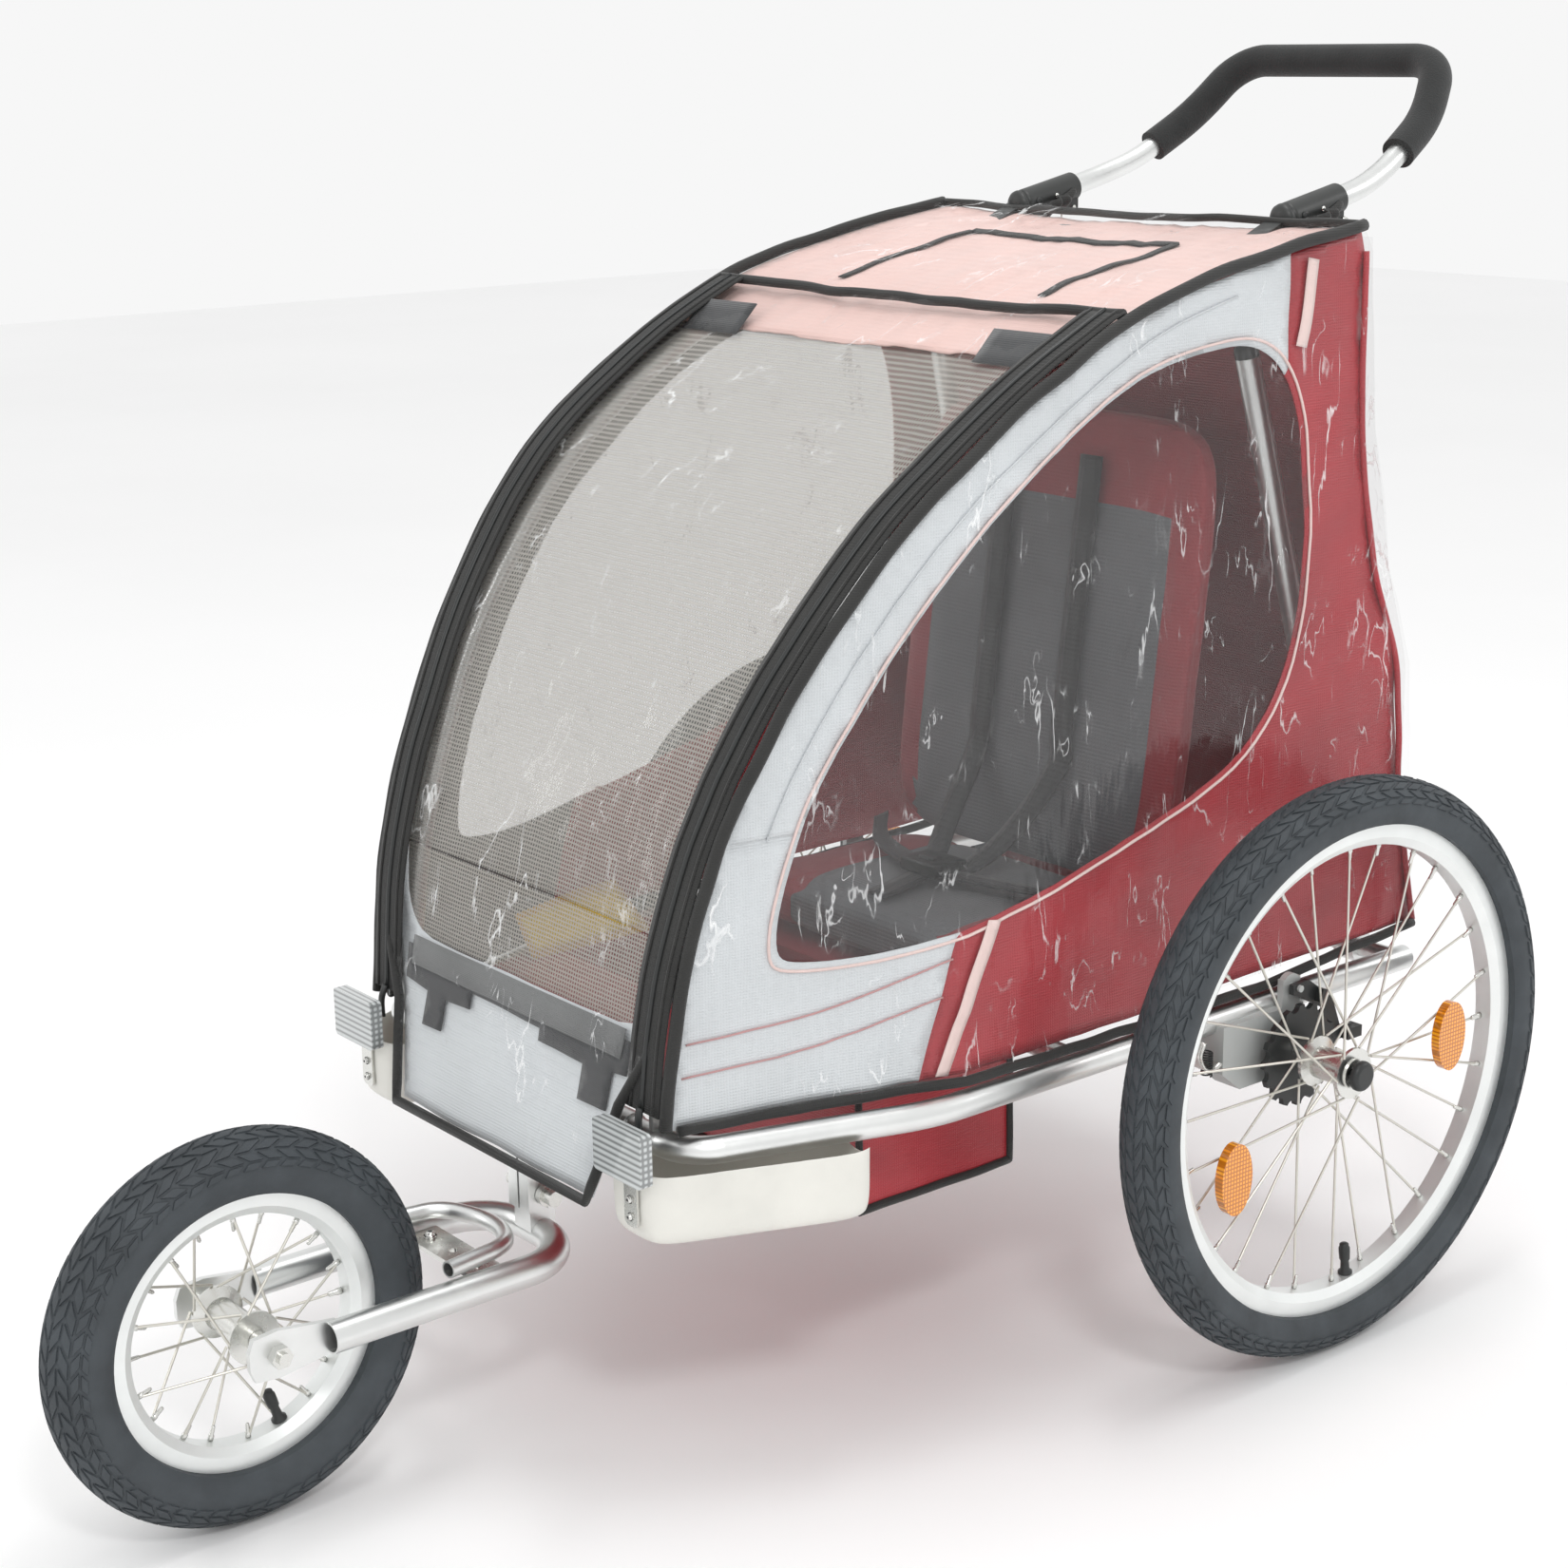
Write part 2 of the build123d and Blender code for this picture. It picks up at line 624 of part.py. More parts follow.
# Axle with its cones between the hub and the dropouts, and its nuts outside them.
with BuildPart() as front_axle:
    add(rod_x(-72, 72, FRONT_AXLE_Y, FRONT_TYRE_R, FRONT_AXLE_R).part)
    add(rod_x(30.3, DROPOUT_X - 2.6, FRONT_AXLE_Y, FRONT_TYRE_R, 8.0).part)
    add(rod_x(-40.3, -DROPOUT_X + 2.6, FRONT_AXLE_Y, FRONT_TYRE_R, 8.0).part)
    for side, _ in SIDES:
        with BuildSketch(ALONG_X.offset(side * (DROPOUT_X + 6.6) - 4)):
            with Locations((FRONT_AXLE_Y, FRONT_TYRE_R)):
                RegularPolygon(9.0, 6)
        extrude(amount=8)
save(front_axle, "front_axle")


# ---------------------------------------------------------------- folding frame


def cabin_hoop(side):
    """One bent side tube of the cabin frame, from its pivot at the front corner to the roof's rear edge."""
    hoop_points = (
        (side * 186, HOOP_PIVOT_Y, HOOP_PIVOT_Z - 7),
        (side * 192, -243, 450),
        (side * 214, -170, 608),
        (side * 233.5, -58, 742),
        (side * 238, 105, 850),
        (side * 238, 404, 915.8),
    )
    route = pipe(hoop_points, HOOP_BENDS, HOOP_R, HOOP_R - TUBE_WALL).part
    pin_hole = rod_x(side * 170, side * 205, HOOP_PIVOT_Y, HOOP_PIVOT_Z, 3.55).part
    with BuildPart() as hoop:
        add(route)
        add(pin_hole, mode=Mode.SUBTRACT)
    return hoop


def upright(side):
    """A rear upright tube with a cross eye at its foot that turns on the rear cross tube."""
    base_x, base_y, base_z = UPRIGHT_BASE
    top_x, top_y, top_z = UPRIGHT_TOP
    tube = pipe(
        ((side * base_x, base_y, base_z), (side * top_x, top_y, top_z)), [], UPRIGHT_R, UPRIGHT_R - TUBE_WALL
    ).part
    eye = rod_x(side * (base_x - 11), side * (base_x + 11), base_y, base_z, 14.0).part
    bore = rod_x(side * (base_x - 30), side * (base_x + 30), base_y, base_z, ROOF_TUBE_R + FIT).part
    with BuildPart() as post:
        add(tube)
        add(eye)
        add(bore, mode=Mode.SUBTRACT)
    return post


def upright_cap(side):
    """A rounded plastic cap on an upright's top end."""
    base = Vector(side * UPRIGHT_BASE[0], *UPRIGHT_BASE[1:])
    top = Vector(side * UPRIGHT_TOP[0], *UPRIGHT_TOP[1:])
    along = (top - base).normalized()
    with BuildPart() as cap:
        with BuildSketch(Plane(origin=top + along * 0.1, z_dir=along)):
            Circle(UPRIGHT_R)
        extrude(amount=12)
        fillet(cap.faces().sort_by(Axis.Z)[-1].edges(), radius=6)
    return cap


for side, name in SIDES:
    save(cabin_hoop(side), f"{name}_cabin_hoop")
    save(upright(side), f"{name}_upright")
save(both_sides(upright_cap), "upright_caps")

ROOF_TUBE_HALF = 228.8
with BuildPart() as roof_cross_tubes:
    for tube_y, tube_z in ((ROOF_FRONT_Y, ROOF_FRONT_Z), (ROOF_REAR_Y, ROOF_REAR_Z)):
        add(rod_x(-ROOF_TUBE_HALF, ROOF_TUBE_HALF, tube_y, tube_z, ROOF_TUBE_R, ROOF_TUBE_R - TUBE_WALL).part)
save(roof_cross_tubes, "roof_cross_tubes")

sleeve_run = Vector(0, SLEEVE_REAR[0] - SLEEVE_FRONT[0], SLEEVE_REAR[1] - SLEEVE_FRONT[1])
sleeve_dir = sleeve_run.normalized()
PIN_Y, PIN_Z = 484.0, 931.0


SLEEVE_CLAMP = [(386, 903), (412, 903), (442, 930), (450, 938), (424, 940), (400, 930), (386, 924)]


def handle_sleeve(side):
    """A moulded socket for one end of the push handle, clamped over the rear roof tube.
    A lug under its mouth carries the locking pin."""
    front_end = Vector(side * SLEEVE_X, *SLEEVE_FRONT)
    inner, outer = side * (SLEEVE_X - 20), side * (SLEEVE_X + 20)
    roof_tube = rod_x(inner, outer, ROOF_REAR_Y, ROOF_REAR_Z, ROOF_TUBE_R + FIT).part
    pin_hole = rod_x(inner, outer, PIN_Y, PIN_Z, 2.1).part
    with BuildPart() as sleeve:
        with BuildSketch(Plane(origin=front_end, z_dir=sleeve_dir)):
            Circle(13.0)
        extrude(amount=sleeve_run.length)
        fillet(sleeve.faces().sort_by(Axis.Y)[0].edges(), radius=5)
        with BuildSketch(ALONG_X.offset(side * SLEEVE_X - 10)):
            with BuildLine():
                Polyline(*SLEEVE_CLAMP, close=True)
            make_face()
        extrude(amount=20)
        with BuildSketch(ALONG_X.offset(side * SLEEVE_X - 8)):
            with BuildLine():
                Polyline((470, 944), (474, 926), (491, 926), (491, 946), close=True)
            make_face()
        extrude(amount=16)
        with BuildSketch(Plane(origin=front_end + sleeve_dir * 7, z_dir=sleeve_dir)):
            Circle(HANDLE_R + FIT)
        extrude(amount=90, mode=Mode.SUBTRACT)
        add(roof_tube, mode=Mode.SUBTRACT)
        add(pin_hole, mode=Mode.SUBTRACT)
    return sleeve


def hitch_pin(side):
    """A locking pin with a ball end and a pull ring."""
    ring_x = side * (SLEEVE_X + 15)
    with BuildPart() as pin:
        add(rod_x(side * (SLEEVE_X - 10), side * (SLEEVE_X + 12), PIN_Y, PIN_Z, 2.0).part)
        with Locations((ring_x - side * 1, PIN_Y, PIN_Z)):
            Sphere(4.5)
        with Locations(Location((ring_x, PIN_Y, PIN_Z - 9), (0, 90, 0))):
            Torus(8.0, 0.9)
    return pin


save(both_sides(handle_sleeve), "handle_sleeves")
for side, name in SIDES:
    save(hitch_pin(side), f"{name}_hitch_pin")

# Push handle: one bent tube with a foam grip over its rear loop.
handle_start = Vector(SLEEVE_X, *SLEEVE_FRONT) + sleeve_dir * 9
handle_bend = Vector(SLEEVE_X, *SLEEVE_FRONT) + sleeve_dir * 99
BAR_Y = HANDLE_REAR_Y - GRIP_R
BAR_Z = 1062.0
GRIP_BEND_FRONT = (151.5, 566.0, 972.0)
GRIP_BEND_REAR = (140.0, 634.0, 1012.0)
handle_half = (
    tuple(handle_start),
    tuple(handle_bend),
    GRIP_BEND_FRONT,
    GRIP_BEND_REAR,
    (118.0, BAR_Y, BAR_Z),
)
handle_points = handle_half + tuple((-px, py, pz) for px, py, pz in reversed(handle_half))
handle_bends = [200.0, 180.0, 150.0, 42.0]
save(
    pipe(handle_points, handle_bends + handle_bends[::-1], HANDLE_R, HANDLE_R - TUBE_WALL),
    "handlebar",
)
grip_start = Vector(*GRIP_BEND_FRONT) + (Vector(*GRIP_BEND_REAR) - Vector(*GRIP_BEND_FRONT)) * 0.3
grip_half = (tuple(grip_start), GRIP_BEND_REAR, (118.0, BAR_Y, BAR_Z))
grip_points = grip_half + tuple((-px, py, pz) for px, py, pz in reversed(grip_half))
save(pipe(grip_points, [150.0, 42.0, 42.0, 150.0], GRIP_R, HANDLE_R + 0.1), "handle_grip")


# ---------------------------------------------------------------- cabin fabric


def flare(grow):
    """The cabin's width: narrow at the front corner, wider behind and straight at the top."""
    with BuildPart() as body:
        for height, half_widths in HALF_WIDTHS.items():
            near = [(width + grow, y) for width, y in zip(half_widths, SECTION_Y)]
            far = [(-width, y) for width, y in reversed(near)]
            with BuildSketch(Plane.XY.offset(height)):
                with BuildLine():
                    Polyline(*near, *far, close=True)
                make_face()
        loft(ruled=True)
    return body.part


def grown(outline, distance):
    """Moves every edge of a closed clockwise outline outwards and returns the new corners."""
    corners = []
    for i, (y, z) in enumerate(outline):
        (y0, z0), (y1, z1) = outline[i - 1], outline[(i + 1) % len(outline)]
        before = Vector(y - y0, z - z0).normalized()
        after = Vector(y1 - y, z1 - z).normalized()
        normal_0 = Vector(-before.Y, before.X)
        normal_1 = Vector(-after.Y, after.X)
        shift = (normal_0 + normal_1) * (distance / (1 + normal_0.dot(normal_1)))
        corners.append((y + shift.X, z + shift.Y))
    return corners


FRONT_AND_ROOF = [
    (-275, CABIN_BOTTOM),
    (-254.7, 453),
    (-180.4, 614.5),
    (-66, 751.3),
    (100.4, 861.2),
    (413, 930),
]
REAR = [(420, 768), (470, 558), (480, 430), (500, CABIN_BOTTOM)]


def side_view(grow):
    """The cabin's outline from the side, as a block across the whole width."""
    outline = grown(FRONT_AND_ROOF + REAR, grow)
    split = len(FRONT_AND_ROOF)
    with BuildPart() as body:
        with BuildSketch(ALONG_X.offset(-300)):
            with BuildLine():
                FilletPolyline(*outline[:split], radius=HOOP_BENDS)
                Polyline(*outline[split - 1:], outline[0])
            make_face()
        extrude(amount=600)
    return body.part


def window_block(side):
    """The side window's outline, as a block through one side."""
    with BuildPart() as body:
        with BuildSketch(ALONG_X.offset(150 if side > 0 else -350)):
            with BuildLine():
                Spline(
                    (-195, 443), (-164, 414), (-30, 420), (147, 463), (280, 510), (348, 610),
                    (351, 760), (318, 835), (250, 853), (117, 819), (-40, 706), (-150, 563),
                    periodic=True,
                )
            make_face()
        extrude(amount=200)
    return body.part


def half_space(y0, y1, z0, z1):
    """A block between two stations along the trailer and two heights."""
    with BuildPart() as body:
        with Locations((0, (y0 + y1) / 2, (z0 + z1) / 2)):
            Box(700, y1 - y0, z1 - z0)
    return body.part


flare_outer = flare(0)
flare_inner = flare(-CLOTH)
flare_within = flare(-CLOTH - 0.4)
pane_outside = flare(-CLOTH - 0.3)
pane_inside = flare(-CLOTH - 0.3 - 2 * FILM)
outline_outer = side_view(0)
outline_inner = side_view(-CLOTH)


def side_panel(side):
    """One side wall of cloth, with the window cut out."""
    window = window_block(side)
    with BuildPart() as panel:
        add(flare_outer)
        add(flare_inner, mode=Mode.SUBTRACT)
        add(outline_outer, mode=Mode.INTERSECT)
        with Locations((side * 200, 100, 600)):
            Box(400, 1000, 800, mode=Mode.INTERSECT)
        add(window, mode=Mode.SUBTRACT)
    return panel


def side_window(side):
    """A clear pane that backs one window, just inside the cloth."""
    window = window_block(side)
    with BuildPart() as pane:
        add(pane_outside)
        add(pane_inside, mode=Mode.SUBTRACT)
        add(window, mode=Mode.INTERSECT)
    return pane


def band(*regions):
    """A strip of the cabin's front, roof or rear cloth between the two side walls."""
    with BuildPart() as strip:
        add(outline_outer)
        add(outline_inner, mode=Mode.SUBTRACT)
        add(flare_within, mode=Mode.INTERSECT)
        for region in regions:
            add(region, mode=Mode.INTERSECT)
    return strip


for side, name in SIDES:
    save(side_panel(side), f"{name}_side_panel")
save(both_sides(side_window), "side_windows")

ROOF_SEAM_Y = 140.0
SCREEN_BOTTOM = 444.0
REAR_SEAM_Y = 411.0
save(band(half_space(-400, ROOF_SEAM_Y - 0.3, SCREEN_BOTTOM + 0.3, 1000)), "front_screen")

with BuildPart() as sleeve_gaps:
    for side, _ in SIDES:
        with Locations((side * SLEEVE_X, 440, 930)):
            Box(32, 110, 60)

roof_band = band(half_space(ROOF_SEAM_Y, REAR_SEAM_Y, 800, 1000)).part
with BuildPart() as roof_panel:
    add(roof_band)
    add(sleeve_gaps.part, mode=Mode.SUBTRACT)
save(roof_panel, "roof_panel")

rear_band = band(half_space(REAR_SEAM_Y + 0.5, 600, 318, 920)).part
with BuildPart() as rear_panel:
    add(rear_band)
    add(sleeve_gaps.part, mode=Mode.SUBTRACT)
save(rear_panel, "rear_panel")

FLAP_EDGE = [(200, 443), (185, 368), (158, 322), (137, 241)]
FLAP_OUTLINE = FLAP_EDGE + [(-x, z) for x, z in reversed(FLAP_EDGE)]

# The lower front flap narrows to a straight hem in front of the receiver.
with BuildPart() as front_lower_flap:
    with BuildSketch(ALONG_X.offset(-220)):
        with BuildLine():
            Polyline((-257, 443.5), (-270, 380), (-283, 320), (-303, 240))
            offset(amount=CLOTH / 2, side=Side.BOTH)
        make_face()
    extrude(amount=440)
    with BuildSketch(Plane.XZ.offset(200)):
        with BuildLine():
            Polyline(*FLAP_OUTLINE, close=True)
        make_face()
    extrude(amount=200, mode=Mode.INTERSECT)
save(front_lower_flap, "front_lower_flap")


def cover_block(grow):
    """The cabin's whole shape, grown all round."""
    width = flare(grow)
    with BuildPart() as body:
        add(side_view(grow))
        add(width, mode=Mode.INTERSECT)
    return body.part


cover_outside = cover_block(COVER_GAP + FILM)
cover_inside = cover_block(COVER_GAP)
with BuildPart() as rain_cover:
    add(cover_outside)
    add(cover_inside, mode=Mode.SUBTRACT)
    with Locations((0, 100, 660)):
        Box(700, 1000, 680, mode=Mode.INTERSECT)
    with Locations((0, -260, 380)):
        Box(700, 120, 2 * (SCREEN_BOTTOM - 380) + 4, mode=Mode.SUBTRACT)
    add(sleeve_gaps.part, mode=Mode.SUBTRACT)
save(rain_cover, "rain_cover")

# Floor cloth with a sunk footwell that hangs between the rails.
WELL_X, WELL_Y0, WELL_Y1, WELL_Z = 203.0, -93.0, 68.0, 188.0
FLOOR_Z = 300.0
FLOOR_CLOTH = 2.0
WELL_DEPTH = FLOOR_Z - WELL_Z + FLOOR_CLOTH
with BuildPart() as cabin_floor:
    with BuildSketch(Plane.XY.offset(FLOOR_Z)):
        with BuildLine():
            Polyline(
                (168, -250), (196, -236), (216, -160), (240, -60), (240, 78), (180, 78), (180, 460),
                (-180, 460), (-180, 78), (-240, 78), (-240, -60), (-216, -160), (-196, -236), (-168, -250),
                close=True,
            )
        make_face()
    extrude(amount=FLOOR_CLOTH)
    with Locations((0, (WELL_Y0 + WELL_Y1) / 2, (WELL_Z + FLOOR_Z + FLOOR_CLOTH) / 2)):
        Box(2 * WELL_X, WELL_Y1 - WELL_Y0, WELL_DEPTH)
        Box(2 * (WELL_X - FLOOR_CLOTH), WELL_Y1 - WELL_Y0 - 2 * FLOOR_CLOTH, WELL_DEPTH, mode=Mode.SUBTRACT)
    with Locations((0, (WELL_Y0 + WELL_Y1) / 2, WELL_Z + FLOOR_CLOTH / 2)):
        Box(2 * WELL_X, WELL_Y1 - WELL_Y0, FLOOR_CLOTH)
save(cabin_floor, "cabin_floor")

SEAT_HALF = 176.0
CUSHION_DEPTH, CUSHION_HEIGHT = 214.0, 60.0
with BuildPart() as seat_cushion:
    with Locations((0, 190, 333)):
        Box(2 * SEAT_HALF, CUSHION_DEPTH, CUSHION_HEIGHT)
    fillet(seat_cushion.edges().filter_by(Axis.X), radius=22)
    fillet(seat_cushion.faces().filter_by(Axis.X).edges(), radius=7)
save(seat_cushion, "seat_cushion")

with BuildPart() as seat_back:
    with BuildSketch(ALONG_X.offset(-SEAT_HALF)):
        with BuildLine():
            Polyline((262, 366), (302, 366), (356, 770), (316, 770), close=True)
        make_face()
    extrude(amount=2 * SEAT_HALF)
    fillet(seat_back.edges().filter_by(Axis.X), radius=15)
save(seat_back, "seat_back")
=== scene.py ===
import json
from math import cos, pi, radians, sin

import bmesh
import bpy
import numpy as np
from mathutils import Matrix, Vector, geometry, noise

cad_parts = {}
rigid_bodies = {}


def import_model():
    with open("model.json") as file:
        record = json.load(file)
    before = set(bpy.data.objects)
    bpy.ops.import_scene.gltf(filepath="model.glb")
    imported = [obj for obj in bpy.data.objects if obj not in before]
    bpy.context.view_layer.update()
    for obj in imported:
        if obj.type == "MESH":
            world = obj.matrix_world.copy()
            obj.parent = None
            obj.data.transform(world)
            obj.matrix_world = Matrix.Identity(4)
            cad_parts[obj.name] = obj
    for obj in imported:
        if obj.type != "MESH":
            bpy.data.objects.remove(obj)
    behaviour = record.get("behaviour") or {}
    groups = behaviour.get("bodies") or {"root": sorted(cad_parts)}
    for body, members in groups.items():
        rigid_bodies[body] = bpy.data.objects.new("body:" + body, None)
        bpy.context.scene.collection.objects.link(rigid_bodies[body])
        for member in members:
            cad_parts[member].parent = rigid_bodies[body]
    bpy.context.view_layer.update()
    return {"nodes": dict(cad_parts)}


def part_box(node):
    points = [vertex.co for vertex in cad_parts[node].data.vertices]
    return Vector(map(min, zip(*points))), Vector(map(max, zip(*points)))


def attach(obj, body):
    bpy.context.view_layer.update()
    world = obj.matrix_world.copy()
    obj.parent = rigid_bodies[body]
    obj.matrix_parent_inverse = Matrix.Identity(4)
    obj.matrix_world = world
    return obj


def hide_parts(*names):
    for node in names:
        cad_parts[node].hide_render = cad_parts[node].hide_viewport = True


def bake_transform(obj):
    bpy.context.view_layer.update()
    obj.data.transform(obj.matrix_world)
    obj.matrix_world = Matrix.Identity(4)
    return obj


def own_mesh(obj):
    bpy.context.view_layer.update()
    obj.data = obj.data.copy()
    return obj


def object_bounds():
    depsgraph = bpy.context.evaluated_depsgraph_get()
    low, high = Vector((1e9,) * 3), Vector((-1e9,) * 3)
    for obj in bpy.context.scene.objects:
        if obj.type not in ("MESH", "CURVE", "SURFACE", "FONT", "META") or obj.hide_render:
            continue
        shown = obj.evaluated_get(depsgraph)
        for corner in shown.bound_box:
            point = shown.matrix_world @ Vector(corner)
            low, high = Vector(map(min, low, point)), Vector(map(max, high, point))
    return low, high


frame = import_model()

SIDES = ((1, "left"), (-1, "right"))

# ---------------------------------------------------------------- cabin shape, in metres

# The cabin's side outline, as (y, z): the corner from the front hem over the roof, then the rear edge.
CORNER = (
    (-0.276, 0.306), (-0.269, 0.380), (-0.256, 0.446), (-0.225, 0.532), (-0.168, 0.634), (-0.082, 0.737),
    (0.018, 0.810), (0.104, 0.857), (0.184, 0.888), (0.313, 0.915), (0.413, 0.930),
)
REAR_EDGE = ((0.418, 0.914), (0.419, 0.768), (0.440, 0.645), (0.470, 0.558), (0.478, 0.440), (0.500, 0.322))
HEM_Z = 0.306
SECTION_Y = (-0.337, -0.275, -0.167, -0.037, 0.063, 0.563)
SECTION_Z = (0.280, 0.560, 0.960)
HALF_WIDTHS = (
    (0.190, 0.200, 0.225, 0.268, 0.270, 0.270),
    (0.200, 0.206, 0.224, 0.250, 0.258, 0.262),
    (0.252, 0.252, 0.252, 0.252, 0.252, 0.252),
)
WINDOW = (
    (-0.195, 0.443), (-0.164, 0.414), (-0.030, 0.420), (0.147, 0.463), (0.280, 0.510), (0.348, 0.610),
    (0.351, 0.760), (0.318, 0.835), (0.250, 0.853), (0.117, 0.819), (-0.040, 0.706), (-0.150, 0.563),
)
COLOUR_SEAM = ((-0.078, 0.300), (-0.040, 0.420), (0.325, 0.825), (0.325, 0.925))
ROOF_SEAM_Y = 0.140
SCREEN_BOTTOM_Z = 0.444
CLOTH = 0.0013
SLOPE_STEP = 0.004


def smooth(points, closed=False, per=10):
    """A smooth line through points, as many steps between each pair."""
    pts = [Vector(p) for p in points]
    n = len(pts)
    out = []
    for i in range(n if closed else n - 1):
        a = pts[(i - 1) % n] if closed or i else pts[i] * 2 - pts[i + 1]
        b, c = pts[i], pts[(i + 1) % n]
        d = pts[(i + 2) % n] if closed or i < n - 2 else pts[i + 1] * 2 - pts[i]
        for k in range(per):
            t = k / per
            start = b * 2 + (c - a) * t
            out.append((start + (a * 2 - b * 5 + c * 4 - d) * t**2 + (b * 3 - a - c * 3 + d) * t**3) / 2)
    if not closed:
        out.append(pts[-1])
    return out


def lengths_along(line):
    """The distance from a line's start to each of its points."""
    return np.concatenate([[0], np.cumsum(np.hypot(*np.diff(line, axis=0).T))])


def read_off(table, value, axis=1):
    """A line's one coordinate where its other, the axis given, has a value."""
    pairs = sorted((p[axis], p[1 - axis]) for p in table)
    return float(np.interp(value, [p[0] for p in pairs], [p[1] for p in pairs]))


corner_line = np.array([tuple(p) for p in smooth(CORNER, per=20)])
corner_length = lengths_along(corner_line)
CORNER_END = float(corner_length[-1])


def half_width(y, z):
    """The cabin's half width at a place on its side."""
    rows = [np.interp(y, SECTION_Y, row) for row in HALF_WIDTHS]
    return float(np.interp(z, SECTION_Z, rows))


def along_line(line, lengths, s):
    """(y, z) at a distance along a line."""
    return float(np.interp(s, lengths, line[:, 0])), float(np.interp(s, lengths, line[:, 1]))


def corner_at(s):
    """(y, z) at a distance along the corner line, and the outward direction there."""
    y, z = along_line(corner_line, corner_length, s)
    y0, z0 = along_line(corner_line, corner_length, max(s - SLOPE_STEP, 0.0))
    y1, z1 = along_line(corner_line, corner_length, min(s + SLOPE_STEP, CORNER_END))
    dy, dz = y1 - y0, z1 - z0
    size = (dy * dy + dz * dz) ** 0.5
    return y, z, -dz / size, dy / size


def s_where(axis, value):
    """Distance along the corner line where y (axis 0) or z (axis 1) first reaches a value."""
    return float(np.interp(value, corner_line[:, axis], corner_length))


S_SCREEN = s_where(1, SCREEN_BOTTOM_Z)
S_SEAM = s_where(0, ROOF_SEAM_Y)


def ripple(p, size, seed=0.0):
    """Smooth noise from -1 to 1 over lumps of a size in metres."""
    return noise.noise(Vector((p[0] / size + seed, p[1] / size - seed, p[2] / size + 0.37 * seed)))


def on_front(x, s, lift=0.0, wrinkle=0.0, seed=0.0, sag=0.0):
    """A point on the front and roof cloth."""
    y, z, ny, nz = corner_at(s)
    width = half_width(y, z)
    across = max(0.0, 1 - (x / width) ** 2)
    off = lift - sag * across
    if wrinkle:
        lumps = ripple((x, y, z), 0.09, seed) + 0.6 * ripple((x * 2, y, z), 0.035, seed)
        off += wrinkle * lumps * min(1, across * 4)
    return Vector((x, y + ny * off, z + nz * off))


def on_side(side, y, z, lift=0.0, wrinkle=0.0, seed=0.0):
    """A point on one side's cloth."""
    x = half_width(y, z) + lift
    if wrinkle:
        x += wrinkle * (ripple((seed, y, z), 0.10, seed) + 0.5 * ripple((seed, y * 1.6, z), 0.04, seed + 3))
    return Vector((side * x, y, z))


def rear_at(z):
    """Where the rear cloth is at a height."""
    return read_off(REAR_EDGE, z)


# ---------------------------------------------------------------- mesh helpers


def in_scene(name, data):
    """A new object in the scene for a mesh, a light or a camera."""
    obj = bpy.data.objects.new(name, data)
    bpy.context.collection.objects.link(obj)
    return obj


def from_bmesh(name, bm, materials):
    """A new object for a finished bmesh."""
    mesh = bpy.data.meshes.new(name)
    bm.to_mesh(mesh)
    bm.free()
    for material in materials:
        mesh.materials.append(material)
    return in_scene(name, mesh)


def new_object(name, verts, faces, materials, flat=False):
    """A new object for a list of points and faces."""
    mesh = bpy.data.meshes.new(name)
    mesh.from_pydata([tuple(v) for v in verts], [], faces)
    mesh.update()
    for material in materials:
        mesh.materials.append(material)
    mesh.polygons.foreach_set("use_smooth", [not flat] * len(mesh.polygons))
    return in_scene(name, mesh)


def grid_faces(rows, columns, round_rows=False, round_columns=False):
    """The quads between rows of points, which may close round either way."""
    faces = []
    for i in range(rows if round_rows else rows - 1):
        up = (i + 1) % rows
        for k in range(columns if round_columns else columns - 1):
            right = (k + 1) % columns
            faces.append((i * columns + k, i * columns + right, up * columns + right, up * columns + k))
    return faces


def end_caps(rows, columns):
    """The two faces that close a tube of rings."""
    return [tuple(range(columns))[::-1], tuple((rows - 1) * columns + k for k in range(columns))]


def thicken(obj, thickness, offset=-1.0):
    """Gives a sheet its thickness, all on one side or centred."""
    modifier = obj.modifiers.new("thickness", "SOLIDIFY")
    modifier.thickness = thickness
    modifier.offset = offset
    modifier.use_even_offset = False
    return obj


def finish_modifiers(obj):
    """Replaces an object's mesh by what its modifiers make of it."""
    bpy.context.view_layer.update()
    evaluated = obj.evaluated_get(bpy.context.evaluated_depsgraph_get())
    mesh = bpy.data.meshes.new_from_object(evaluated)
    obj.modifiers.clear()
    obj.data = mesh
    return obj


def inside(points, loop):
    """Which of the points lie in a closed loop."""
    px, py = points[:, 0], points[:, 1]
    result = np.zeros(len(points), bool)
    for (x0, y0), (x1, y1) in zip(loop, np.roll(loop, -1, axis=0)):
        crosses = (y0 > py) != (y1 > py)
        if y0 != y1:
            result ^= crosses & (px < (x1 - x0) * (py - y0) / (y1 - y0) + x0)
    return result


def resample(line, step, closed):
    """Evenly spaced points along a line, as near as whole steps allow."""
    line = [Vector(p) for p in line]
    if closed:
        line = line + [line[0]]
    out = []
    for a, b in zip(line, line[1:]):
        count = max(1, round((b - a).length / step))
        out += [a.lerp(b, k / count) for k in range(count)]
    if not closed:
        out.append(line[-1])
    return out


def in_cloth(points, loops):
    """Which of the points lie in a cut's outline and outside its holes."""
    ok = inside(points, loops[0])
    for hole in loops[1:]:
        ok &= ~inside(points, hole)
    return ok


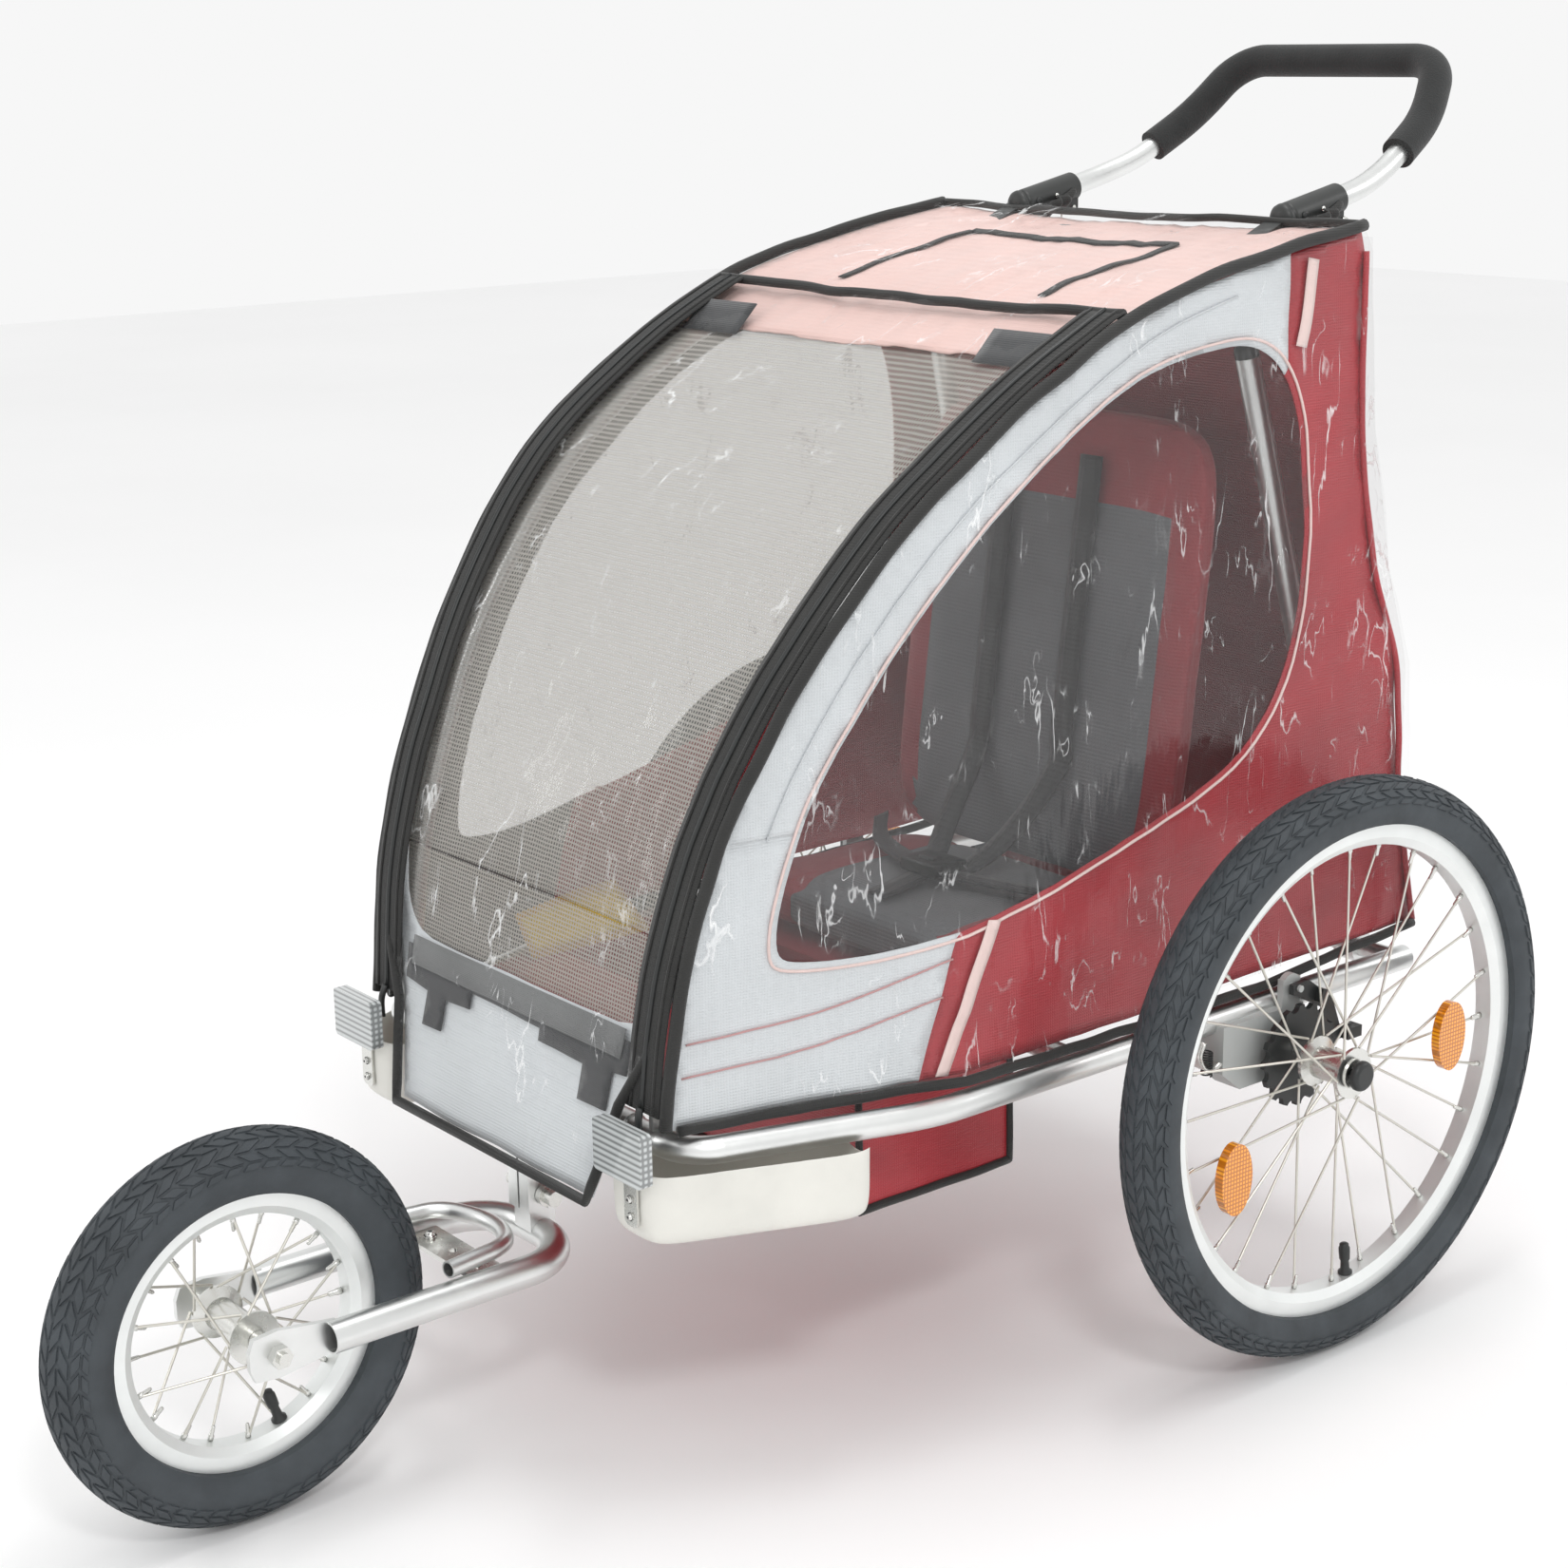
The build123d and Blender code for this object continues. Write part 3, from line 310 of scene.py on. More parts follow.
def flat_pattern(outline, step, holes=(), seams=(), keep=None):
    """Triangulates a flat piece of cloth. Returns its points, its triangles and its area."""
    loops = [resample(loop, step, True) for loop in (outline, *holes)]
    points, edges = [], []
    for loop in loops:
        start = len(points)
        points += loop
        edges += [(start + i, start + (i + 1) % len(loop)) for i in range(len(loop))]
    for seam in seams:
        line = resample(seam, step, False)
        start = len(points)
        points += line
        edges += [(start + i, start + i + 1) for i in range(len(line) - 1)]
    border = np.array([tuple(p) for p in points])
    arrays = [np.array([tuple(p) for p in loop]) for loop in loops]
    low, high = arrays[0].min(0), arrays[0].max(0)
    xs, ys = np.meshgrid(np.arange(low[0], high[0], step), np.arange(low[1], high[1], step * 0.87))
    xs[1::2] += step / 2
    grid = np.stack([xs.ravel(), ys.ravel()], 1)
    grid = grid[in_cloth(grid, arrays)]
    near = np.array([np.min(np.sum((border - g) ** 2, axis=1)) for g in grid])
    grid = grid[near > (0.55 * step) ** 2]
    points += [Vector(g) for g in grid]
    verts, _, faces, _, _, _ = geometry.delaunay_2d_cdt(points, edges, [], 0, 1e-7)
    flat = np.array([tuple(v) for v in verts])
    tris = np.array([f for f in faces if len(f) == 3])
    centres = flat[tris].mean(axis=1)
    ok = in_cloth(centres, arrays)
    if keep is not None:
        ok &= np.array([keep(a, b) for a, b in centres])
    tris = tris[ok]
    a, b, c = flat[tris[:, 0]], flat[tris[:, 1]], flat[tris[:, 2]]
    area = float(np.abs(np.cross(b - a, c - a)).sum() / 2)
    used = np.unique(tris)
    renumber = {int(old): new for new, old in enumerate(used)}
    return flat[used], [[renumber[int(i)] for i in tri] for tri in tris], area


def smallest_rectangle(flat):
    """The sides of the smallest rectangle that a cut fits in."""
    best = None
    for angle in np.radians(np.arange(0, 90, 3)):
        turned_points = flat @ np.array([[cos(angle), -sin(angle)], [sin(angle), cos(angle)]])
        size = turned_points.max(0) - turned_points.min(0)
        if best is None or size[0] * size[1] < best[0] * best[1]:
            best = size
    return float(best[0]), float(best[1])


def cloth_piece(name, pattern, place, material, thickness=CLOTH, flip=False, lining=None):
    """Lifts a flat pattern into place and gives it its thickness, with a second material on its inner face if
    one is given.
    """
    flat, tris, area = pattern
    if flip:
        tris = [tri[::-1] for tri in tris]
    obj = new_object(name, [place(a, b) for a, b in flat], tris, [material] + ([lining] if lining else []))
    if thickness:
        thicken(obj, thickness)
        obj.modifiers[0].material_offset = 1 if lining else 0
        finish_modifiers(obj)
    obj["flat_width"], obj["flat_length"] = smallest_rectangle(flat)
    obj["flat_area"] = area
    return obj


def declare(obj):
    """Returns the piece unchanged."""
    return obj


def frames(path, closed=False):
    """Tangent, and two directions across it that don't twist, at each point of a path."""
    n = len(path)
    tangents = []
    for i in range(n):
        a = path[(i - 1) % n] if closed or i else path[i]
        b = path[(i + 1) % n] if closed or i < n - 1 else path[i]
        tangents.append((b - a).normalized())
    side = tangents[0].orthogonal().normalized()
    out = []
    for t in tangents:
        side = (side - t * side.dot(t)).normalized()
        out.append((t, side, t.cross(side)))
    return out


def tube(name, path, radius, material, sides=10, closed=False):
    """A round bead along a path, with closed ends."""
    path = [Vector(p) for p in path]
    verts = []
    for p, (_, a, b) in zip(path, frames(path, closed)):
        for k in range(sides):
            angle = 2 * pi * k / sides
            verts.append(p + a * radius * cos(angle) + b * radius * sin(angle))
    faces = grid_faces(len(path), sides, round_rows=closed, round_columns=True)
    if not closed:
        faces += end_caps(len(path), sides)
    return new_object(name, verts, faces, [material])


def ribbon(name, path, across, width, material, thickness=0.0012):
    """A flat strap or tape along a path. across is the direction of its width, or one for each point."""
    if isinstance(across, tuple):
        across = [across] * len(path)
    verts = []
    for p, direction in zip(path, across):
        for k in (-1.0, -0.33, 0.33, 1.0):
            verts.append(Vector(p) + Vector(direction).normalized() * width / 2 * k)
    obj = new_object(name, verts, grid_faces(len(path), 4), [material])
    thicken(obj, thickness, 0.0)
    return finish_modifiers(obj)


def join(name, objects):
    """Joins objects into one piece."""
    bm = bmesh.new()
    slots = []
    for obj in objects:
        shift = []
        for material in obj.data.materials:
            if material not in slots:
                slots.append(material)
            shift.append(slots.index(material))
        start = len(bm.faces)
        bm.from_mesh(obj.data)
        bm.faces.ensure_lookup_table()
        for face in bm.faces[start:]:
            face.material_index = shift[face.material_index] if shift else 0
        old = obj.data
        bpy.data.objects.remove(obj)
        bpy.data.meshes.remove(old)
    return from_bmesh(name, bm, slots)


def boxes(name, places, material, bevel=0.0):
    """Many small blocks as one piece. Each place is (matrix, (x, y, z) size)."""
    bm = bmesh.new()
    for matrix, size in places:
        made = bmesh.ops.create_cube(bm, size=1.0)
        scale = Matrix.Diagonal((*size, 1.0))
        bmesh.ops.transform(bm, matrix=matrix @ scale, verts=made["verts"])
    if bevel:
        bmesh.ops.bevel(bm, geom=bm.edges[:], offset=bevel, segments=2, affect="EDGES", profile=0.6)
    for face in bm.faces:
        face.smooth = bool(bevel)
    return from_bmesh(name, bm, [material])


# ---------------------------------------------------------------- materials


class Shade:
    """A short way to build one Principled material from nodes."""

    def __init__(self, name):
        self.material = bpy.data.materials.new(name)
        self.material.use_nodes = True
        self.tree = self.material.node_tree
        self.principled = self.tree.nodes["Principled BSDF"]
        self.place = self.tree.nodes.new("ShaderNodeTexCoord").outputs["Object"]

    def node(self, kind, inputs=None, **settings):
        made = self.tree.nodes.new(kind)
        for key, value in settings.items():
            setattr(made, key, value)
        for key, value in (inputs or {}).items():
            if hasattr(value, "is_output"):
                self.tree.links.new(value, made.inputs[key])
            else:
                made.inputs[key].default_value = value
        return made

    def set(self, **values):
        for key, value in values.items():
            socket = self.principled.inputs[key.replace("_", " ")]
            if hasattr(value, "is_output"):
                self.tree.links.new(value, socket)
            else:
                socket.default_value = value

    def noise(self, scale, detail=4.0, stretch=None, rough=0.55):
        vector = self.place
        if stretch:
            vector = self.node("ShaderNodeMapping", {"Vector": self.place, "Scale": stretch}).outputs[0]
        return self.node(
            "ShaderNodeTexNoise", {"Vector": vector, "Scale": scale, "Detail": detail, "Roughness": rough}
        ).outputs["Fac"]

    def ramp(self, fac, stops):
        made = self.node("ShaderNodeValToRGB", {"Fac": fac})
        elements = made.color_ramp.elements
        while len(elements) < len(stops):
            elements.new(0.5)
        for element, (position, colour) in zip(elements, stops):
            element.position = position
            element.color = colour if len(colour) == 4 else (*colour, 1.0)
        return made.outputs["Color"]

    def tones(self, fac, colour, spread, places=(0.3, 0.5, 0.75)):
        """A ramp over a darker, the same and a lighter version of a colour."""
        shades = [tuple(max(0.0, min(1.0, c * f)) for c in colour) for f in (1 - spread, 1.0, 1 + spread)]
        return self.ramp(fac, list(zip(places, shades)))

    def value(self, fac, low, high, from_low=0.0, from_high=1.0):
        return self.node(
            "ShaderNodeMapRange",
            {"Value": fac, "From Min": from_low, "From Max": from_high, "To Min": low, "To Max": high},
        ).outputs[0]

    def math(self, operation, a, b):
        return self.node("ShaderNodeMath", {0: a, 1: b}, operation=operation).outputs[0]

    def bands(self, axis, **inputs):
        return self.node(
            "ShaderNodeTexWave", {"Vector": self.place, **inputs}, bands_direction=axis
        ).outputs["Fac"]

    def creases(self, vector, width, **inputs):
        """Thin lines along the middle of a noise's slopes, and the noise itself."""
        folds = self.node("ShaderNodeTexNoise", {"Vector": vector, **inputs}).outputs["Fac"]
        ridge = self.math("ABSOLUTE", self.math("SUBTRACT", folds, 0.5), 0.0)
        return self.value(ridge, 1.0, 0.0, 0.0, width), folds

    def bump(self, height, strength, distance):
        made = self.node("ShaderNodeBump", {"Height": height, "Strength": strength, "Distance": distance})
        self.tree.links.new(made.outputs[0], self.principled.inputs["Normal"])


def woven(shade, pitch):
    """Height of a plain weave with a thread pitch in metres."""
    across, along, up = [shade.bands(axis, Scale=1 / pitch / 6.28, Distortion=0.4) for axis in "XYZ"]
    return shade.math("ADD", shade.math("MULTIPLY", along, up), shade.math("MULTIPLY", across, up))


def cloth(name, colour, spread=0.12, roughness=0.62, pitch=0.0012, sheen=0.25, coat=0.0):
    """Coated woven cloth: soft colour patches, a weave and a faint sheen."""
    shade = Shade(name)
    shade.set(
        Base_Color=shade.tones(shade.noise(9.0, 6.0), colour, spread, (0.3, 0.5, 0.72)),
        Roughness=shade.value(shade.noise(60.0), roughness - 0.08, roughness + 0.08),
        Sheen_Weight=sheen,
        Sheen_Roughness=0.5,
        Coat_Weight=coat,
        Coat_Roughness=0.15,
    )
    height = shade.math("ADD", woven(shade, pitch), shade.math("MULTIPLY", shade.noise(120.0), 1.2))
    shade.bump(height, 0.35, 0.0006)
    return shade.material


def metal(name, colour, roughness, grain=(1.0, 1.0, 1.0), metallic=1.0):
    """Drawn or plated metal with fine grain and handling marks."""
    shade = Shade(name)
    streaks = shade.noise(140.0, 5.0, grain)
    shade.set(
        Base_Color=shade.tones(shade.noise(14.0, 6.0), colour, 0.06, (0.3, 0.55, 0.75)),
        Metallic=metallic,
        Roughness=shade.value(streaks, roughness - 0.07, roughness + 0.10),
    )
    shade.bump(streaks, 0.12, 0.0002)
    return shade.material


def plastic(name, colour, roughness, grain=900.0, strength=0.25, spread=0.08):
    """Moulded plastic with a spark-eroded grain."""
    shade = Shade(name)
    shade.set(
        Base_Color=shade.tones(shade.noise(12.0, 5.0), colour, spread),
        Roughness=shade.value(shade.noise(40.0), roughness - 0.06, roughness + 0.08),
    )
    shade.bump(shade.noise(grain, 2.0), strength, 0.0003)
    return shade.material


def film(name, clear, painted_highlight_strength, tint_and_highlight_colour=(0.93, 0.94, 0.94), seed=0.0, stretch=(1.0, 1.0, 0.30)):
    """Clear glossy film: nearly invisible where it lies flat, with painted highlights as streaks along its
    long thin creases and as small glints.
    """
    shade = Shade(name)
    vector = shade.node(
        "ShaderNodeMapping", {"Vector": shade.place, "Scale": stretch, "Location": (seed, seed, 0)}
    ).outputs[0]
    line, folds = shade.creases(vector, 0.007, Scale=13.0, Detail=5.0, Distortion=0.25)
    patch = shade.value(shade.noise(9.0, 3.0), 0.0, 0.85, 0.52, 0.66)
    fine_line, _ = shade.creases(vector, 0.013, Scale=46.0, Detail=3.0, Distortion=0.6)
    fine_patch = shade.value(shade.noise(24.0, 2.0), 0.0, 0.60, 0.54, 0.68)
    # The crease streaks and small glints are painted highlights: the film is made more opaque there and takes
    # the highlight colour.
    fine_painted_glints = shade.math("MULTIPLY", fine_line, fine_patch)
    marks = shade.math("MAXIMUM", shade.math("MULTIPLY", line, patch), fine_painted_glints)
    painted_highlight_alpha = shade.math("MULTIPLY", marks, painted_highlight_strength)
    # Where the film lies flat, its colour is a quarter of the highlight colour.
    shadowed = tuple(0.25 * channel for channel in tint_and_highlight_colour)
    alpha = shade.node("ShaderNodeMath", {0: painted_highlight_alpha, 1: clear}, operation="ADD", use_clamp=True)
    shade.set(
        Base_Color=shade.ramp(marks, [(0.04, shadowed), (0.30, tint_and_highlight_colour)]),
        Roughness=0.06,
        IOR=2.4,
        Alpha=alpha.outputs[0],
    )
    shade.bump(folds, 0.8, 0.012)
    return shade.material


def lens(name, colour, pitch=0.0035):
    """A moulded reflector lens: rows of small prisms behind clear plastic."""
    shade = Shade(name)
    prisms = shade.math("MULTIPLY", *[shade.bands(axis, Scale=0.314 / pitch) for axis in "YZ"])
    shade.set(
        Base_Color=shade.tones(prisms, colour, 0.45, (0.05, 0.35, 0.8)),
        Roughness=0.12,
        Coat_Weight=1.0,
        Coat_Roughness=0.03,
    )
    shade.bump(prisms, 0.4, 0.0008)
    return shade.material


def rubber(name, colour):
    """Tyre rubber with a dusty bloom and fine mould lines."""
    shade = Shade(name)
    shade.set(
        Base_Color=shade.tones(shade.noise(22.0, 8.0), colour, 0.22, (0.32, 0.5, 0.7)),
        Roughness=shade.value(shade.noise(90.0), 0.55, 0.78),
    )
    shade.bump(shade.noise(500.0, 3.0), 0.3, 0.0004)
    return shade.material


def foam(name, colour):
    """Closed-cell foam: a matt skin with small open pores."""
    shade = Shade(name)
    cells = shade.node("ShaderNodeTexVoronoi", {"Vector": shade.place, "Scale": 650.0}).outputs["Distance"]
    shade.set(
        Base_Color=shade.tones(shade.noise(30.0, 6.0), colour, 0.3),
        Roughness=0.88,
        Sheen_Weight=0.15,
    )
    shade.bump(cells, 0.5, 0.0006)
    return shade.material


def mesh_cloth(name, colour):
    """Open screen mesh: two sets of threads with small holes between."""
    shade = Shade(name)
    across, up = [shade.bands(axis, Scale=95.0, Distortion=0.6, Detail=1.0) for axis in "XZ"]
    threads = shade.math("MAXIMUM", across, up)
    shade.set(
        Base_Color=shade.tones(threads, colour, 0.18, (0.25, 0.6, 0.9)),
        Roughness=0.75,
        Alpha=shade.value(threads, 0.28, 0.72, 0.35, 0.7),
    )
    shade.bump(threads, 0.6, 0.0008)
    return shade.material


RED = cloth("red_coated_cloth", (0.37, 0.020, 0.030), 0.2, 0.5, sheen=0.08, coat=0.25)
RED_SOFT = cloth("red_seat_cloth", (0.36, 0.04, 0.05), 0.18, 0.7, 0.0016)
GREY = cloth("light_grey_cloth", (0.66, 0.69, 0.71), 0.06, 0.55, coat=0.15)
SEAT_GREY = cloth("grey_seat_cloth", (0.17, 0.18, 0.19), 0.15, 0.75, 0.0018)
# A darker grey for the inner faces of the grey cloth.
DARK_INNER_GREY = cloth("dark_grey_lining", (0.11, 0.11, 0.105), 0.15, 0.7)
PINK = cloth("pink_roof_cloth", (0.80, 0.55, 0.50), 0.06, 0.6, coat=0.15)
BLACK_CLOTH = cloth("black_binding", (0.018, 0.018, 0.017), 0.25, 0.72, 0.0009, 0.12)
HOOK_TAPE = cloth("hook_and_loop_tape", (0.045, 0.047, 0.05), 0.25, 0.9, 0.0007, 0.3)
SMOKE_TAPE = cloth("grey_loop_tape", (0.16, 0.165, 0.165), 0.2, 0.9, 0.0007, 0.3)
STRIPE = cloth("pale_reflective_stripe", (0.86, 0.66, 0.62), 0.06, 0.35, 0.0006, 0.1, 0.4)
SEAM_RED = cloth("red_stitched_seam", (0.55, 0.28, 0.28), 0.1, 0.6)
WEBBING = cloth("black_webbing", (0.02, 0.02, 0.022), 0.2, 0.6, 0.0022, 0.2)
SCREEN = mesh_cloth("screen_mesh", (0.40, 0.385, 0.35))
# Each film: its clear alpha, the strength of its painted crease highlights, its tint and highlight colour,
# and a seed.
WINDOW_FILM = film("window_film", 0.20, 0.10, (0.20, 0.20, 0.20), 3.1)
COVER_FILM = film("rain_cover_film", 0.075, 0.85, (0.90, 0.91, 0.91), 7.7)
TOP_FILM = film("rain_cover_top_film", 0.075, 0.85, (0.90, 0.91, 0.91), 2.3, (1.0, 0.35, 0.35))
TYRE = rubber("tyre_rubber", (0.045, 0.053, 0.060))
FOAM = foam("foam_grip_rubber", (0.016, 0.017, 0.017))
ALUMINIUM = metal("satin_aluminium_tube", (0.80, 0.81, 0.80), 0.33)
RIM_METAL = metal("silver_rim", (0.86, 0.88, 0.87), 0.42, (0.2, 1, 1), 0.75)
STEEL = metal("zinc_plated_steel", (0.72, 0.72, 0.69), 0.24)
SPOKE_STEEL = metal("spoke_steel", (0.70, 0.68, 0.62), 0.3)
CASTING = metal("grey_painted_bracket", (0.50, 0.52, 0.51), 0.45, metallic=0.2)
CREAM = plastic("cream_moulded_plastic", (0.74, 0.73, 0.68), 0.42)
BLACK_PLASTIC = plastic("black_moulded_plastic", (0.022, 0.024, 0.024), 0.38)
CHARCOAL = plastic("charcoal_sleeve_plastic", (0.030, 0.032, 0.031), 0.40)
AMBER = lens("amber_lens", (0.95, 0.30, 0.01))
CLEAR_LENS = lens("clear_lens", (0.40, 0.42, 0.42), 0.005)
LABEL = plastic("plain_yellow_label", (0.75, 0.42, 0.02), 0.45, 600.0, 0.1)
LABEL_FACE = plastic("plain_yellow_label_face", (0.95, 0.66, 0.03), 0.45, 600.0, 0.1)

CAD_MATERIALS = {
    ALUMINIUM: "side_rails front_cross_tube seat_cross_tube rear_cross_tube rear_axle_tube left_cabin_hoop"
    " right_cabin_hoop roof_cross_tubes left_upright right_upright handlebar jogger_fork fork_arch fork_post"
    " hitch_receiver hoop_pivot_brackets",
    RIM_METAL: "left_rim right_rim front_rim",
    SPOKE_STEEL: "left_spokes right_spokes front_spokes",
    STEEL: "left_hub right_hub front_hub wheel_axles front_axle fork_brace reflector_brackets left_hitch_pin"
    " right_hitch_pin fork_skewer",
    CASTING: "axle_brackets",
    CREAM: "corner_bumpers",
    BLACK_PLASTIC: "left_brake_ratchet right_brake_ratchet left_brake_lever right_brake_lever"
    " left_release_button right_release_button",
    CHARCOAL: "handle_sleeves upright_caps",
    FOAM: "handle_grip",
    TYRE: "left_tyre right_tyre front_tyre",
    RED: "cabin_floor",
    AMBER: "left_wheel_reflectors right_wheel_reflectors",
    CLEAR_LENS: "front_reflectors",
}
for material, nodes in CAD_MATERIALS.items():
    for node in nodes.split():
        for material_slot in frame["nodes"][node].material_slots:
            material_slot.material = material


# ---------------------------------------------------------------- cabin cloth


def front_outline(low, high, margin):
    """A front or roof cut in (x, distance along the corner line)."""
    right = []
    for s in np.linspace(low, high, 40):
        y, z, _, _ = corner_at(s)
        right.append((half_width(y, z) - margin, s))
    return right + [(-x, s) for x, s in reversed(right)]


def bend_with_front(obj):
    """Bakes a piece's placement into its mesh."""
    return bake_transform(obj)


def dress(piece, replaced=None, body=None, folds=False):
    """Hides the CAD part that a sheet replaces, moves the sheet with a body or else bakes its placement, and
    gives it a mesh of its own when folds is set.
    """
    declare(piece)
    if replaced:
        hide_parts(replaced)
    if body:
        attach(piece, body)
    else:
        bend_with_front(piece)
    if folds:
        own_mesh(piece)


SCREEN_HIGH = S_SEAM - 0.055
SCREEN_MARGIN = 0.014

screen_cut = front_outline(S_SCREEN, SCREEN_HIGH, SCREEN_MARGIN)
front_mesh = cloth_piece(
    "front_screen_mesh",
    flat_pattern(screen_cut, 0.011),
    lambda x, s: on_front(x, s, 0.0, 0.0015, 2.0, 0.006),
    SCREEN,
    0,
)
dress(
    front_mesh, "front_screen", "canopy_frame"
)

roof = cloth_piece(
    "roof_cloth",
    flat_pattern(front_outline(SCREEN_HIGH - 0.006, CORNER_END, 0.001), 0.011),
    lambda x, s: on_front(x, s, 0.0024, 0.0035, 9.0, 0.005),
    PINK,
)
dress(roof, "roof_panel", "canopy_frame")

side_outline = [tuple(p) for p in corner_line[::4]] + list(REAR_EDGE)
window_loop = [tuple(p) for p in smooth(WINDOW, closed=True, per=8)]
MIDDLE_Y, MIDDLE_Z, HEM_SHARE = 0.1, 0.63, 0.975
hem_corners = [
    (MIDDLE_Y + (y - MIDDLE_Y) * HEM_SHARE, MIDDLE_Z + (z - MIDDLE_Z) * HEM_SHARE) for y, z in WINDOW
]
window_hem = [tuple(p) for p in smooth(hem_corners, closed=True, per=8)]


def seam_y(z):
    """Where the grey cloth meets the red along the side, at a height."""
    return read_off(COLOUR_SEAM, z)


ARCH_Z = 0.520
ARCH_SEAM = ((-0.24, ARCH_Z), (-0.10, ARCH_Z))
SIDE_WRINKLE = 0.0028
SIDE_SEED = 11.0


def side_cloth(side, label, part, material, slot, keep):
    """One cut of a side's cloth."""
    obj = cloth_piece(
        f"{label}_side_{part}_cloth",
        flat_pattern(side_outline, 0.011, holes=[window_hem], seams=[COLOUR_SEAM, ARCH_SEAM], keep=keep),
        lambda y, z: on_side(side, y, z, 0.0, SIDE_WRINKLE, SIDE_SEED * side),
        material,
        flip=side < 0,
        lining=DARK_INNER_GREY if material is GREY else None,
    )
    dress(obj, f"{label}_side_panel", "chassis", folds=True)
    return obj


SIDE_CUTS = (
    ("arch", GREY, "grey_cloth", lambda y, z: y < seam_y(z) and z >= ARCH_Z),
    ("foot", GREY, "grey_cloth", lambda y, z: y < seam_y(z) and z < ARCH_Z),
    ("rear", RED, "red_cloth", lambda y, z: y >= seam_y(z)),
)
for side, label in SIDES:
    cuts = [side_cloth(side, label, *cut) for cut in SIDE_CUTS]
    window = cloth_piece(
        f"{label}_side_window",
        flat_pattern(window_loop, 0.012),
        lambda y, z: on_side(side, y, z, -0.0016, 0.0025, 20.0 + side),
        WINDOW_FILM,
        0,
        flip=side < 0,
    )
    dress(window, "side_windows", "chassis", folds=True)

rear_outline = [(-0.25, 0.324), (0.25, 0.324), (0.25, 0.918), (-0.25, 0.918)]
rear_cloth = cloth_piece(
    "rear_cloth",
    flat_pattern(rear_outline, 0.014),
    lambda x, z: Vector((x, rear_at(z) - 0.001 + 0.003 * ripple((x, z, 3), 0.12), z)),
    RED,
)
dress(
    rear_cloth, "rear_panel", "chassis",
    folds=True,
)

# The lower flap hangs from the screen over the hitch receiver.
FLAP_PROFILE = ((-0.2575, 0.4435), (-0.2705, 0.380), (-0.2835, 0.320), (-0.3035, 0.240))
FLAP_WIDTHS = ((0.4435, 0.200), (0.368, 0.185), (0.322, 0.158), (0.241, 0.137))
flap_line = np.array(FLAP_PROFILE)
flap_length = lengths_along(flap_line)
FLAP_DROP = float(flap_length[-1])


def on_flap(x, t, lift=0.0, wrinkle=0.0, seed=0.0):
    """A point on the lower flap, t metres below its top edge."""
    y, z = along_line(flap_line, flap_length, t)
    off = lift + wrinkle * ripple((x, y, z), 0.07, seed)
    return Vector((x, y - off, z - 0.25 * off))


def flap_edge(t):
    """Half the flap's width, t metres below its top edge."""
    _, z = along_line(flap_line, flap_length, t)
    return read_off(FLAP_WIDTHS, z, 0)


flap_drops = np.linspace(0, FLAP_DROP, 16)
flap_outline = [(flap_edge(t), t) for t in flap_drops] + [(-flap_edge(t), t) for t in reversed(flap_drops)]
SCREEN_DROP = 0.072
SCREEN_ROUND = 0.040


def lower_screen_edge(t):
    """Half the mesh's width on the flap, rounded at its foot."""
    rounding = max(0.0, t - (SCREEN_DROP - SCREEN_ROUND))
    return flap_edge(t) - 0.014 - (SCREEN_ROUND - (SCREEN_ROUND**2 - rounding**2) ** 0.5)


screen_drops = np.concatenate([[0.0, 0.015], np.linspace(SCREEN_DROP - SCREEN_ROUND, SCREEN_DROP, 12)])
lower_screen_cut = [(lower_screen_edge(t), t) for t in screen_drops]
lower_screen_cut += [(-x, t) for x, t in reversed(lower_screen_cut)]
lower_screen_loop = np.array(lower_screen_cut)


def beside_screen(x, t):
    """Whether a place on the flap is cloth and not mesh."""
    return not inside(np.array([(x, t)]), lower_screen_loop)[0]


flap = cloth_piece(
    "lower_flap_cloth",
    flat_pattern(flap_outline, 0.010, seams=[lower_screen_cut], keep=beside_screen),
    lambda x, t: on_flap(x, t, 0.0, 0.003, 3.0),
    GREY,
    flip=True,
    lining=DARK_INNER_GREY,
)
lower_mesh = cloth_piece(
    "lower_screen_mesh",
    flat_pattern(lower_screen_cut, 0.010),
    lambda x, t: on_flap(x, t, -0.001, 0.002, 3.0),
    SCREEN,
    0,
    flip=True,
)
dress(lower_mesh)
dress(flap, "front_lower_flap")

# Hook-and-loop tapes in steps along the top of the flap.
TAPE_STEPS = (
    (-0.160, 0.080), (0.160, 0.080), (0.156, 0.106), (0.138, 0.108), (0.138, 0.138), (0.100, 0.140),
    (0.100, 0.112), (0.040, 0.110), (0.040, 0.100), (-0.060, 0.098), (-0.060, 0.112), (-0.096, 0.114),
    (-0.096, 0.140), (-0.122, 0.140), (-0.122, 0.112), (-0.156, 0.108),
)
tape = cloth_piece(
    "hook_and_loop_tape", flat_pattern(TAPE_STEPS, 0.008), lambda x, t: on_flap(x, t, 0.0035, 0.002, 3.0),
    HOOK_TAPE, 0.0014, flip=True,
)
upper_tape = cloth_piece(
    "loop_tape",
    flat_pattern([(-0.150, 0.070), (0.150, 0.070), (0.148, 0.094), (-0.148, 0.094)], 0.008),
    lambda x, t: on_flap(x, t, 0.0058, 0.001, 3.0),
    SMOKE_TAPE, 0.0012, flip=True,
)
for piece in (tape, upper_tape):
    dress(piece)

# ---------------------------------------------------------------- rain cover

front_film = cloth_piece(
    "rain_cover_front_and_roof",
    flat_pattern(front_outline(S_SCREEN, CORNER_END, 0.0), 0.009),
    lambda x, s: on_front(x, s, 0.0065, 0.0045, 15.0),
    TOP_FILM,
    0,
)
dress(front_film, "rain_cover", "canopy_frame")

